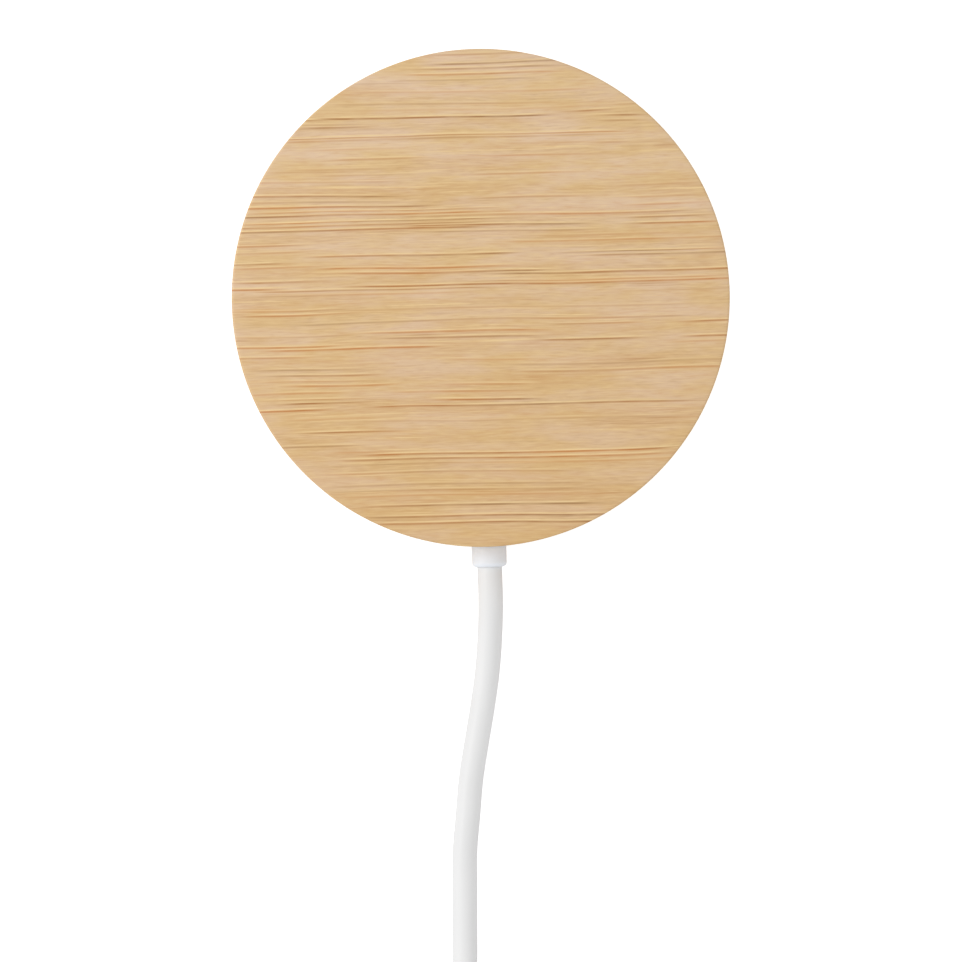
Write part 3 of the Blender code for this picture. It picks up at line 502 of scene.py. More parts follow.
print("bamboo bands:", len(FIBRE_BANDS), "lines:", line_count)

# %% [markdown]
# A colour ramp holds the lines of one band. Its red channel is the brown of each line and its
# green channel the pale side, and both fade out where the band starts and ends.

# %% One band of fibres
# across a line in mm: where its brown starts, where its pale side is strongest, where that ends
LINE_START, LINE_PALE, LINE_END = -0.19, 0.18, 0.38
# the length over which a line fades at each end, and a band's clear margin, in mm
FADE = 5.0
MARGIN = 1.0
print("brown side", -LINE_START, "mm, pale side", LINE_END, "mm, fade", FADE, "mm")


def fibre_band(tree, along, across, band):
    """(dark, pale) of one band as a vector: a ramp across the fibres, faded at both ends."""
    start, end, lines = band
    places = sorted(lines)
    low, high = places[0][0] - MARGIN, places[-1][0] + MARGIN
    ramp = add_node(tree, "ShaderNodeValToRGB", {0: remap(tree, across, low, high, 0.0, 1.0)})
    stops = [(low, 0.0, 0.0)]
    for place, strength in places:
        stops += [(place + LINE_START, 0.0, 0.0), (place, strength, 0.0)]
        stops += [(place + LINE_PALE, 0.0, strength), (place + LINE_END, 0.0, 0.0)]
    elements = ramp.color_ramp.elements
    for number, (place, dark, pale) in enumerate(stops):
        position = (place - low) / (high - low)
        element = elements[number] if number < 2 else elements.new(position)
        element.position = position
        element.color = (dark, pale, 0.0, 1.0)
    opening = remap(tree, along, start, start + FADE, 0.0, 1.0, smooth=True)
    closing = remap(tree, along, end - FADE, end, 1.0, 0.0, smooth=True)
    return scaled(tree, ramp.outputs[0], calculate(tree, "MULTIPLY", opening, closing))


# %% [markdown]
# Round the lines there are finer things: hairs, the flecks that sanding leaves, strips that are
# busier than others, and rows of dots in the wall. Each is a noise stretched along the fibres.

# %% Bamboo's patterns and colours
# how quickly each pattern changes per mm, along and across the fibres and down into the board
WANDER = (0.04, 0.13, 0.13)
RAGGED_ENDS = (0.0, 1.3, 1.3)
PATCHES = (0.22, 1.7, 1.7)
WALL_ROWS = (0.03, 0.9, 1.3)
HAIRS = (0.07, 3.3, 3.3)
STRIPS = (0.05, 0.5, 0.5)
FLECKS = (0.5, 5.0, 5.0)
RUST_PATCHES = (0.03, 0.9, 0.9)
DRIFT = (0.08, 0.33, 0.33)
# the lines climb a little to one side, wander by this many mm, and their ends by this many
GRAIN_SLOPE = 0.01
WANDER_REACH, RAGGED_REACH = 0.28, 4.0
# mm below the face over which the lines give way to the wall's dots
TOP_FADE = (0.25, 0.8)
BAMBOO_PINK = linear(223, 193, 161)
BAMBOO_YELLOW = linear(219, 185, 134)
BAMBOO_TAN = linear(207, 164, 106)
# the darker gold of the painted shade on the ground's side towards the cord
BAMBOO_SHADE_GOLD = linear(211, 167, 104)
BAMBOO_PALE = linear(243, 213, 156)
BAMBOO_UMBER = linear(148, 98, 46)
BAMBOO_RUST = linear(190, 110, 32)
hair_length, hair_width = 1 / HAIRS[0], 1 / HAIRS[1]
print("a hair is about", round(hair_length, 1), "mm long and", round(hair_width, 2), "mm wide")

# %% [markdown]
# The group puts them together: the lines first, then the wall's dots, the hairs and the flecks,
# and last the colours, from the ground up to the darkest fibre.

# %% Bamboo group
def strongest(tree, first, *others):
    for other in others:
        first = calculate(tree, "MAXIMUM", first, other)
    return first


def bamboo_group():
    """Takes object coordinates. Gives the board's colour, how much fibre shows, and its texture."""
    inputs = {"Vector": "Vector", "Top face": 0.009}
    outputs = {"Color": "Color", "Fibre": "Float", "Height": "Float"}
    tree, given, result = new_group("bamboo_board", "ShaderNodeTree", inputs, outputs)
    in_mm = scaled(tree, given.outputs["Vector"], 1 / MM)
    x, y, z = add_node(tree, "ShaderNodeSeparateXYZ", {0: in_mm}).outputs
    # the lines wander a little, and their ends are ragged
    slow = noise(tree, in_mm, WANDER, 1.0)
    across = calculate(tree, "ADD", y, calculate(tree, "MULTIPLY", x, GRAIN_SLOPE))
    wander = remap(tree, slow, 0.2, 0.8, -WANDER_REACH, WANDER_REACH)
    across = calculate(tree, "ADD", across, wander)
    ragged = noise(tree, in_mm, RAGGED_ENDS, 1.0)
    ragged = remap(tree, ragged, 0.25, 0.75, -RAGGED_REACH, RAGGED_REACH)
    along = calculate(tree, "ADD", x, ragged)
    bands = [fibre_band(tree, along, across, band) for band in FIBRE_BANDS]
    streaks = bands[0]
    for band in bands[1:]:
        streaks = vector_by(tree, "MAXIMUM", streaks, band)
    # each line is stronger in some places than in others
    strength = remap(tree, noise(tree, in_mm, PATCHES), 0.3, 0.6, 0.5, 1.0)
    top = calculate(tree, "DIVIDE", given.outputs["Top face"], MM)
    near_top = remap(tree, calculate(tree, "SUBTRACT", top, z), *TOP_FADE, 1.0, 0.0)
    streaks = scaled(tree, streaks, calculate(tree, "MULTIPLY", strength, near_top))
    brown_line, pale_line, _ = add_node(tree, "ShaderNodeSeparateXYZ", {0: streaks}).outputs
    # in the wall, the bundles run in rows that the side cuts across
    rows = vector_by(tree, "MULTIPLY", in_mm, WALL_ROWS)
    cells = {"Vector": rows, "Scale": 1.0, "Randomness": 0.8}
    cells = add_node(tree, "ShaderNodeTexVoronoi", cells).outputs["Distance"]
    dots = remap(tree, cells, 0.1, 0.3, 0.75, 0.0, smooth=True)
    dots = calculate(tree, "MULTIPLY", dots, calculate(tree, "SUBTRACT", 1.0, near_top))
    # short fine fibres, brown and pale, thicker in some strips than in others
    grain = add_node(tree, "ShaderNodeCombineXYZ", {0: x, 1: across, 2: z}).outputs[0]
    hairs = noise(tree, grain, HAIRS, 3.0, 0.65)
    strip = noise(tree, grain, STRIPS)
    busy = remap(tree, strip, 0.35, 0.62, 0.25, 1.0)
    brown_hair = remap(tree, hairs, 0.55, 0.75, 0.0, 0.5, smooth=True)
    brown_hair = calculate(tree, "MULTIPLY", brown_hair, busy)
    pale_hair = remap(tree, hairs, 0.46, 0.28, 0.0, 0.65, smooth=True)
    pale_hair = calculate(tree, "MULTIPLY", pale_hair, busy)
    # sanding leaves every fibre's end as a fleck
    flecks = noise(tree, grain, FLECKS)
    brown_fleck = remap(tree, flecks, 0.5, 0.75, 0.0, 0.22)
    pale_fleck = remap(tree, flecks, 0.47, 0.25, 0.0, 0.3)
    dark = strongest(tree, brown_line, dots, brown_hair, brown_fleck)
    pale = strongest(tree, pale_line, pale_hair, pale_fleck)
    # some bundles are redder than others
    rust = remap(tree, noise(tree, grain, RUST_PATCHES, 1.0), 0.35, 0.6, 0.0, 1.0)
    brown = blend_colours(tree, rust, BAMBOO_UMBER, BAMBOO_RUST)
    # the ground drifts slowly; painted shade makes it darker and more golden towards the cord, on the
    # -y side
    drift = remap(tree, noise(tree, grain, DRIFT, 3.0, 0.6), 0.38, 0.62, 0.0, 1.0)
    colour = blend_colours(tree, drift, BAMBOO_PINK, BAMBOO_YELLOW)
    colour = blend_colours(tree, remap(tree, strip, 0.45, 0.7, 0.0, 0.5), colour, BAMBOO_TAN)
    colour = blend_colours(tree, remap(tree, y, 18.0, -28.0, 0.0, 0.4), colour, BAMBOO_SHADE_GOLD)
    colour = blend_colours(tree, pale, colour, BAMBOO_PALE)
    colour = blend_colours(tree, dark, colour, brown)
    for name, value in (("Color", colour), ("Fibre", dark), ("Height", hairs)):
        tree.links.new(value, result.inputs[name])
    return tree


BAMBOO_BOARD = bamboo_group()
print("group:", BAMBOO_BOARD.name, "nodes:", len(BAMBOO_BOARD.nodes))

# %% [markdown]
# ### Woven strap
# The tie is a woven tape. The weave is a chequer of threads that pass over and under each other,
# so the group multiplies a wave along the tape by one across it, using the tape's own UV map in
# metres.

# %% Weave group
def weave_group():
    inputs = {"UV": "Vector", "Threads per metre": 2200.0}
    outputs = {"Height": "Float", "Gap": "Float"}
    tree, given, result = new_group("weave", "ShaderNodeTree", inputs, outputs)
    turns = calculate(tree, "MULTIPLY", given.outputs["Threads per metre"], math.pi)
    along, across, _ = add_node(tree, "ShaderNodeSeparateXYZ", {0: given.outputs["UV"]}).outputs
    phases = [calculate(tree, "MULTIPLY", place, turns) for place in (along, across)]
    height = calculate(tree, "MULTIPLY", *[calculate(tree, "SINE", phase) for phase in phases])
    gap = calculate(tree, "SUBTRACT", 1.0, calculate(tree, "ABSOLUTE", height), clamp=True)
    tree.links.new(height, result.inputs["Height"])
    tree.links.new(gap, result.inputs["Gap"])
    return tree


WEAVE = weave_group()
print("group:", WEAVE.name)

# %% [markdown]
# ## Finishes
# Each finish is one material. Most are a plain colour that the surface grain makes uneven, so one
# function builds them from a short description: colour, gloss, how uneven, and how rough to touch.

# %% Grained finishes


def new_finish(name, **shader_inputs):
    """A material with one Principled shader. Values that don't vary are set on its own sockets."""
    material = bpy.data.materials.new(name)
    material.use_nodes = True
    tree = material.node_tree
    shader = tree.nodes["Principled BSDF"]
    for key, value in shader_inputs.items():
        shader.inputs[key.replace("_", " ")].default_value = value
    return material, tree, shader


def grained(name, colour, roughness, drift, uneven, scale, depth, metallic=0.0):
    """A finish whose tone and gloss drift, with a fine texture of the given depth in mm."""
    material, tree, shader = new_finish(name, Metallic=metallic)
    place = add_node(tree, "ShaderNodeTexCoord").outputs["Object"]
    grain = placed_group(tree, SURFACE_GRAIN, {"Vector": place, "Texture scale": scale})
    shades = []
    for level in (1 - drift, 1 + drift):
        shades.append((*(min(channel * level, 1.0) for channel in colour[:3]), 1.0))
    tone = blend_colours(tree, grain.outputs["Drift"], *shades)
    gloss = remap(tree, grain.outputs["Drift"], 0.0, 1.0, roughness - uneven, roughness + uneven)
    surface(tree, shader, tone, gloss, grain.outputs["Height"], 0.5, depth)
    return material


# colour, roughness, drift of tone, drift of gloss, texture per metre, its depth in mm, metallic
GRAINED = {
    "cover_plastic": ((236, 235, 231), 0.55, 0.015, 0.08, 2600.0, 0.03),
    "silicone": ((222, 221, 217), 0.75, 0.04, 0.08, 1800.0, 0.03),
    "screw_steel": ((176, 174, 170), 0.34, 0.1, 0.12, 2200.0, 0.01, 1.0),
    "carrier_plastic": ((58, 58, 60), 0.6, 0.1, 0.1, 2600.0, 0.02),
    "adhesive_tape": ((226, 220, 200), 0.5, 0.05, 0.1, 1600.0, 0.03),
    "copper_wire": ((186, 106, 62), 0.3, 0.12, 0.1, 3600.0, 0.02, 1.0),
    "ferrite": ((62, 62, 66), 0.7, 0.14, 0.1, 1800.0, 0.02),
    "magnet_nickel": ((196, 194, 188), 0.22, 0.06, 0.08, 1500.0, 0.01, 1.0),
    "yoke_steel": ((150, 150, 150), 0.42, 0.1, 0.12, 1500.0, 0.02, 1.0),
    "circuit_board": ((28, 86, 58), 0.38, 0.14, 0.1, 900.0, 0.02),
    "chip_resin": ((38, 38, 40), 0.62, 0.1, 0.1, 4200.0, 0.02),
    "ceramic": ((176, 142, 104), 0.45, 0.08, 0.1, 3200.0, 0.02),
    "can_metal": ((190, 190, 188), 0.28, 0.06, 0.1, 2600.0, 0.01, 1.0),
    "thermistor_resin": ((32, 44, 40), 0.3, 0.14, 0.1, 2600.0, 0.02),
    "plug_plastic": ((238, 238, 236), 0.5, 0.025, 0.07, 3400.0, 0.025),
    "plug_steel": ((205, 204, 200), 0.24, 0.05, 0.1, 1400.0, 0.006, 1.0),
    "contact_resin": ((40, 40, 42), 0.55, 0.1, 0.1, 3400.0, 0.02),
    "contact_plain": ((229, 229, 229), 0.9, 0.01, 0.05, 3400.0, 0.005),
    "thread": ((229, 229, 229), 0.9, 0.01, 0.05, 5200.0, 0.005),
    "lead_red": ((186, 40, 36), 0.45, 0.08, 0.08, 2600.0, 0.01),
    "lead_black": ((34, 34, 36), 0.45, 0.1, 0.08, 2600.0, 0.01),
    "lead_green": ((44, 132, 72), 0.45, 0.08, 0.08, 2600.0, 0.01),
    "lead_white": ((228, 228, 224), 0.45, 0.04, 0.08, 2600.0, 0.01),
    # the cord's white plastic, painted lighter: painted light against the shade of the pad's wall
    "sleeve_plastic_painted_light": ((240, 244, 250), 0.5, 0.02, 0.06, 3000.0, 0.02),
}
FINISHES = {name: grained(name, linear(*rgb), *rest) for name, (rgb, *rest) in GRAINED.items()}
print("grained finishes:", len(FINISHES))

# %% [markdown]
# ### Oiled bamboo
# The board is sanded fine and oiled, so it has a soft sheen and no lacquer. The brown fibres take
# less oil and stay a little duller than the ground.

# %% Bamboo finish
def bamboo_finish():
    material, tree, shader = new_finish("bamboo")
    place = add_node(tree, "ShaderNodeTexCoord").outputs["Object"]
    board = placed_group(tree, BAMBOO_BOARD, {"Vector": place, "Top face": pad_high.z})
    gloss = remap(tree, board.outputs["Fibre"], 0.0, 1.0, 0.5, 0.62)
    surface(tree, shader, board.outputs["Color"], gloss, board.outputs["Height"], 0.4, 0.012)
    return material


FINISHES["bamboo"] = bamboo_finish()
print("finish:", FINISHES["bamboo"].name)

# %% [markdown]
# ### Cord jacket and strap
# The jacket is drawn through a die, which leaves faint lines along it, so its texture follows the
# cord's own UV map. The strap uses the weave group in the same way, with painted shade in the gaps
# between its threads.

# %% Cord and strap finishes
def jacket_finish():
    material, tree, shader = new_finish("cord_plastic")
    along = add_node(tree, "ShaderNodeUVMap", uv_map="along_cord").outputs["UV"]
    lines = noise(tree, along, (30.0, 60.0, 1.0))
    drift = remap(tree, noise(tree, along, (60.0, 2.0, 1.0)), 0.3, 0.7, 0.0, 1.0)
    tone = blend_colours(tree, drift, linear(231, 231, 231), linear(237, 237, 237))
    gloss = remap(tree, drift, 0.0, 1.0, 0.42, 0.54)
    surface(tree, shader, tone, gloss, lines, 0.3, 0.006)
    return material


def strap_finish():
    material, tree, shader = new_finish("tie_fabric", Sheen_Weight=0.3, Sheen_Roughness=0.5)
    along = add_node(tree, "ShaderNodeUVMap", uv_map="along_strap").outputs["UV"]
    weave = placed_group(tree, WEAVE, {"UV": along})
    # painted shade: the gaps between the threads are painted darker grey, where shade falls between
    # them
    gap = calculate(tree, "MULTIPLY", weave.outputs["Gap"], 0.7)
    tone = blend_colours(tree, gap, linear(232, 232, 229), linear(176, 175, 171))
    gloss = remap(tree, weave.outputs["Gap"], 0.0, 1.0, 0.75, 0.92)
    surface(tree, shader, tone, gloss, weave.outputs["Height"], 0.6, 0.06)
    return material


FINISHES["cord_plastic"] = jacket_finish()
FINISHES["tie_fabric"] = strap_finish()
cord.data.materials.append(FINISHES["cord_plastic"])
print("finishes:", len(FINISHES))

# %% [markdown]
# ### Finishes on the solid parts
# Every solid that stays gets the finish of its slot in the record, but the cord's plastic is
# swapped for a lighter copy with painted light, against the shade of the pad's wall. Its shape is
# left as it is.

# %% Finishes on the solids
for part in frame["record"]["subparts"]:
    node = frame["nodes"][part["node"]]
    finish = FINISHES[part["material_slot"]]
    # painted light: the cord's plastic becomes its lighter copy, against the wall's shade
    if finish.name == "cord_plastic":
        finish = FINISHES["sleeve_plastic_painted_light"]
    node.data.materials.clear()
    node.data.materials.append(finish)
print("solids finished:", len(frame["nodes"]))

# %% [markdown]
# ## Helpers for Geometry Nodes
# Four small trees make what repeats or turns. They share a start, an end and some sums: a tree
# knows each point only by its index, so a row and a place in the row have to be worked out.

# %% Tree helpers
def geometry_tree(name, inputs):
    """A tree with the named inputs and a finish. Returns it with its inputs' sockets."""
    inputs |= {"Finish": "Material"}
    tree, given, _ = new_group(name, "GeometryNodeTree", inputs, {"Geometry": "Geometry"})
    tree.is_modifier = True
    return tree, given.outputs


def step_of(tree, kind, inputs=None, **settings):
    """The main result of one Geometry node."""
    return add_node(tree, "GeometryNode" + kind, inputs, **settings).outputs[0]


def end_tree(tree, geometry, finish):
    """Every tree ends alike: its copies are made real, and all of it gets the finish."""
    real = step_of(tree, "RealizeInstances", {0: geometry})
    finished = step_of(tree, "SetMaterial", {"Geometry": real, "Material": finish})
    tree.links.new(finished, tree.nodes["Group Output"].inputs[0])
    return tree


def whole(tree, operation, first, second):
    """A whole-number Math node's result."""
    inputs = {0: first, 1: second}
    return add_node(tree, "FunctionNodeIntegerMath", inputs, operation=operation).outputs[0]


def rows_and_columns(tree, count):
    """Each point's row and its place in the row, from its index and the number in a row."""
    index = step_of(tree, "InputIndex")
    return whole(tree, "DIVIDE_FLOOR", index, count), whole(tree, "MODULO", index, count)


def from_xyz(tree, x=0.0, y=0.0, z=0.0):
    return add_node(tree, "ShaderNodeCombineXYZ", {0: x, 1: y, 2: z}).outputs[0]


def turn_angle(tree, place, count):
    """A place out of so many round a circle, as an angle."""
    return calculate(tree, "MULTIPLY", calculate(tree, "DIVIDE", place, count), 2 * math.pi)


print("finishes for the trees:", ", ".join(FINISHES))

# %% [markdown]
# ## A lathe in Geometry Nodes
# The bamboo cover, the grip ring, the sleeve and the plug's tapered end are all turned shapes: one
# profile taken round an axis. A Screw modifier would do it. Here the rule is spelled out instead. A
# grid has one column for each step round and one row for each profile point, and every grid point
# is moved to its profile point, turned by its column's angle.

# %% Lathe tree
WELD = 1e-7


def lathe_tree():
    tree, get = geometry_tree("lathe", {"Profile": "Geometry", "Steps": 64})
    count = step_of(tree, "AttributeDomainSize", {0: get["Profile"]})
    columns = whole(tree, "ADD", get["Steps"], 1)
    grid = step_of(tree, "MeshGrid", {"Vertices X": columns, "Vertices Y": count})
    column, row = rows_and_columns(tree, count)
    inputs = {"Geometry": get["Profile"], "Value": step_of(tree, "InputPosition"), "Index": row}
    point = step_of(tree, "SampleIndex", inputs, data_type="FLOAT_VECTOR")
    inputs = {"Vector": point, "Angle": turn_angle(tree, column, get["Steps"])}
    turned = add_node(tree, "ShaderNodeVectorRotate", inputs, rotation_type="Z_AXIS").outputs[0]
    placed = step_of(tree, "SetPosition", {"Geometry": grid, "Position": turned})
    closed = step_of(tree, "MergeByDistance", {"Geometry": placed, "Distance": WELD})
    return end_tree(tree, closed, get["Finish"])


LATHE = lathe_tree()
print("tree:", LATHE.name, "nodes:", len(LATHE.nodes))

# %% [markdown]
# A tree runs as a modifier. The finished pieces are plain meshes, so a helper object carries the
# modifier, its result is copied out, and the helper goes away again.

# %% Running a tree
def made_by(tree, name, sizes, start=None):
    """Runs a tree on a starting mesh with the given inputs. Returns a plain mesh."""
    helper = bpy.data.objects.new(name + "_start", start or bpy.data.meshes.new("nothing"))
    scene.collection.objects.link(helper)
    modifier = helper.modifiers.new(tree.name, "NODES")
    modifier.node_group = tree
    items = tree.interface.items_tree
    sockets = {item.name: item.identifier for item in items if item.in_out == "INPUT"}
    for key, value in sizes.items():
        modifier[sockets[key]] = value
    graph = bpy.context.evaluated_depsgraph_get()
    mesh = bpy.data.meshes.new_from_object(helper.evaluated_get(graph), depsgraph=graph)
    helper.modifiers.clear()
    bpy.data.objects.remove(helper)
    return joined(name, [mesh])


def lathed(name, profile, steps, finish, place=None):
    """A (radius, height) profile turned by the lathe tree, then put in its place."""
    start = bpy.data.meshes.new(name + "_profile")
    edges = [(number, number + 1) for number in range(len(profile) - 1)]
    start.from_pydata([(radius, 0.0, height) for radius, height in profile], edges, [])
    mesh = made_by(LATHE, name, {"Steps": steps, "Finish": finish}, start)
    if place is not None:
        mesh.transform(place)
    return mesh


AROUND_CORD_AXIS = Matrix.Rotation(math.radians(90), 4, "X")
print("lathe ready, welds points within", WELD, "m")

# %% [markdown]
# ## The bamboo cover
# The cover is turned from one disc of board: a flat top, a crisp edge that is only just broken, a
# plumb wall and a deep pocket underneath for the works. A hole in the wall lets the cord's sleeve
# out. The outline takes its sizes from the solid, with many more steps round so that the edge reads
# as a true circle.

# %% Bamboo cover
TOP_THICKNESS = 1.6 * MM
SIDE_WALL = 2.2 * MM
EDGE_ROUND = 0.3 * MM
FOOT_ROUND = 0.2 * MM
FLANGE_LIP = 0.5 * MM
HOLE_GAP = 0.15 * MM
# from the pad's middle, the cutter's two ends
HOLE_FROM, HOLE_TO = 20.0 * MM, 40.0 * MM
ceiling = pad_high.z - TOP_THICKNESS
cavity = PAD_RADIUS - SIDE_WALL
cover_profile = [(PAD_RADIUS * share, pad_high.z) for share in (0.0, 0.25, 0.5, 0.75, 0.95)]
edge_middle = (PAD_RADIUS - EDGE_ROUND, pad_high.z - EDGE_ROUND)
cover_profile += arc(edge_middle, EDGE_ROUND, 90, 0, 6)
foot_middle = (PAD_RADIUS - FOOT_ROUND, pad_low.z + FOOT_ROUND)
cover_profile += arc(foot_middle, FOOT_ROUND, 0, -90, 4)
cover_profile += [(cavity, pad_low.z), (cavity, ceiling), (cavity / 2, ceiling), (0.0, ceiling)]
flange_radius = (grommet_high.z - grommet_low.z) / 2
sleeve_radius = flange_radius - FLANGE_LIP
hole = sleeve_radius + HOLE_GAP
hole_profile = [(0.0, HOLE_FROM), (hole, HOLE_FROM), (hole, HOLE_TO), (0.0, HOLE_TO)]
along_exit = Matrix.Translation((0.0, 0.0, EXIT.z)) @ AROUND_CORD_AXIS
hole_cutter = lathed("hole_cutter", hole_profile, 48, FINISHES["bamboo"], along_exit)
cover_mesh = cut(lathed("bamboo_cover_fine", cover_profile, 256, FINISHES["bamboo"]), hole_cutter)
cover = add_piece("bamboo_cover_fine", cover_mesh, 50.0)
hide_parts("bamboo_cover")
print("cover faces", len(cover_mesh.polygons), "sleeve radius", round(sleeve_radius / MM, 2))

# %% [markdown]
# ## The sleeve
# The cord leaves through a short moulded sleeve. Its flange sits behind the wall and stops it being
# pulled out, and its outer end is rounded so that it doesn't nick the jacket.

# %% Cord sleeve
FLANGE_THICKNESS = 0.55 * MM
SLEEVE_ROUND = 0.55 * MM
JACKET_GAP = 0.03 * MM
BORE_SETBACK = 0.05 * MM
sleeve_end, sleeve_start = -grommet_low.y, -grommet_high.y
flange_end = sleeve_start + FLANGE_THICKNESS
bore = CORD_RADIUS + JACKET_GAP
sleeve_profile = [(bore, sleeve_start), (flange_radius, sleeve_start)]
sleeve_profile += [(flange_radius, flange_end), (sleeve_radius, flange_end)]
mouth_middle = (sleeve_radius - SLEEVE_ROUND, sleeve_end - SLEEVE_ROUND)
sleeve_profile += arc(mouth_middle, SLEEVE_ROUND, 0, 90, 8)
sleeve_profile += [(bore, sleeve_end - BORE_SETBACK), (bore, sleeve_start)]
# the sleeve's finish carries painted light against the shade of the pad's wall
sleeve_mesh = lathed("cord_sleeve", sleeve_profile, 64, FINISHES["sleeve_plastic_painted_light"], along_exit)
sleeve = add_piece("cord_sleeve", sleeve_mesh)
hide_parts("cord_grommet")
print("sleeve from", round(sleeve_start / MM, 2), "to", round(sleeve_end / MM, 2), "mm out")

# %% [markdown]
# ## The grip ring
# A silicone ring under the pad keeps it from sliding. Its lower face is covered with small round
# studs. They repeat round the ring by a rule, so Geometry Nodes places them: the index of a stud
# gives its row and its place in the row, and every second row is turned by half a step.

# %% Studs tree
def studs_tree():
    inputs = {"Start": "Geometry", "Rows": 6, "Per row": 100, "First radius": 0.02}
    inputs |= {"Row step": 0.001, "Stud radius": 0.0004, "Stud height": 0.0002}
    tree, get = geometry_tree("studs", inputs)
    total = whole(tree, "MULTIPLY", get["Rows"], get["Per row"])
    row, column = rows_and_columns(tree, get["Per row"])
    shifted = calculate(tree, "ADD", column, calculate(tree, "MULTIPLY", row, 0.5))
    angle = turn_angle(tree, shifted, get["Per row"])
    outwards = calculate(tree, "MULTIPLY", row, get["Row step"])
    radius = calculate(tree, "ADD", get["First radius"], outwards)
    x = calculate(tree, "MULTIPLY", radius, calculate(tree, "COSINE", angle))
    y = calculate(tree, "MULTIPLY", radius, calculate(tree, "SINE", angle))
    points = step_of(tree, "Points", {"Count": total, "Position": from_xyz(tree, x, y)})
    inputs = {"Segments": 10, "Rings": 6, "Radius": get["Stud radius"]}
    dome = step_of(tree, "MeshUVSphere", inputs)
    flat = calculate(tree, "DIVIDE", get["Stud height"], get["Stud radius"])
    inputs = {"Points": points, "Instance": dome, "Scale": from_xyz(tree, 1.0, 1.0, flat)}
    copies = step_of(tree, "InstanceOnPoints", inputs)
    return end_tree(tree, copies, get["Finish"])


STUDS = studs_tree()
print("tree:", STUDS.name, "nodes:", len(STUDS.nodes))

# %% [markdown]
# The ring itself is a flat band with two rounded lower edges. It sits higher by the height of a
# stud, so that the studs end where the solid's lower face does.

# %% Grip ring with its studs
FOOT_WIDTH = 7.5 * MM
FOOT_EDGE = 0.2 * MM
STUD_HEIGHT = 0.15 * MM
STUD_RADIUS = 0.38 * MM
STUD_MARGIN = 1.0 * MM
STUD_ROWS, STUDS_PER_ROW = 6, 110
foot_low, foot_high, _ = size_of("anti_slip_ring")
foot_outer = (foot_high.x - foot_low.x) / 2
foot_inner = foot_outer - FOOT_WIDTH
under = foot_low.z + STUD_HEIGHT
foot_profile = [(foot_inner, foot_high.z), (foot_inner, under + FOOT_EDGE)]
foot_profile += arc((foot_inner + FOOT_EDGE, under + FOOT_EDGE), FOOT_EDGE, 180, 270, 4)[1:]
foot_profile += arc((foot_outer - FOOT_EDGE, under + FOOT_EDGE), FOOT_EDGE, 270, 360, 4)
foot_profile += [(foot_outer, foot_high.z), (foot_inner, foot_high.z)]
foot = add_piece("grip_ring", lathed("grip_ring", foot_profile, 160, FINISHES["silicone"]))
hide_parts("anti_slip_ring")
stud_sizes = {
    "Rows": STUD_ROWS,
    "Per row": STUDS_PER_ROW,
    "First radius": foot_inner + STUD_MARGIN,
    "Row step": (FOOT_WIDTH - 2 * STUD_MARGIN) / (STUD_ROWS - 1),
    "Stud radius": STUD_RADIUS,
    "Stud height": STUD_HEIGHT,
    "Finish": FINISHES["silicone"],
}
stud_mesh = made_by(STUDS, "grip_studs", stud_sizes)
stud_mesh.transform(Matrix.Translation((0.0, 0.0, under)))
studs = add_piece("grip_studs", stud_mesh, None)
print("studs:", STUD_ROWS * STUDS_PER_ROW, "faces", len(stud_mesh.polygons))

# %% [markdown]
# ## The strap round the coil
# A woven strap holds the wound cord. It goes once round the ring of turns, flat against it. Its
# section is carried round a loop with rounded corners.

# %% Strap mesh
STRAP_EDGE = 0.45


def strap_mesh(name, line, width, thickness, closed_row=True):
    """A flat tape carried round points (out, up), with a UV map in metres along and across it."""
    section = rounded_rectangle(width, thickness, thickness * STRAP_EDGE, 3)
    sides, count = len(section), len(line)
    rings, along = [], [0.0]
    for number, (out, up) in enumerate(line):
        before = line[number - 1] if closed_row or number else line[number]
        after = line[(number + 1) % count] if closed_row or number < count - 1 else line[number]
        direction = Vector((after[0] - before[0], after[1] - before[1])).normalized()
        facing = Vector((direction.y, -direction.x))
        rings.append([Vector((out + facing.x * t, w, up + facing.y * t)) for w, t in section])
        along.append(along[-1] + math.hypot(after[0] - out, after[1] - up))
    mesh = joined_rings(name, rings, closed_row=closed_row, caps=not closed_row)
    layer = mesh.uv_layers.new(name="along_strap")
    for polygon in mesh.polygons:
        rows = [vertex // sides for vertex in polygon.vertices]
        for loop in polygon.loop_indices:
            vertex = mesh.loops[loop].vertex_index
            row = vertex // sides
            if max(rows) - min(rows) > 1 and row == 0:
                row = count
            layer.data[loop].uv = (along[row], mesh.vertices[vertex].co.y)
    mesh.transform(tie_place)
    mesh.materials.append(FINISHES["tie_fabric"])
    return mesh


tie_place = Matrix.Translation(coil_centre)
tie_place @= Matrix.Rotation(math.radians(TIE_ANGLE), 4, "Z")

# %% [markdown]
# The loop passes inside and outside the ring of turns with a little air on both sides. Its flat
# lengths are cut into short steps, which lets the weave follow its bends.

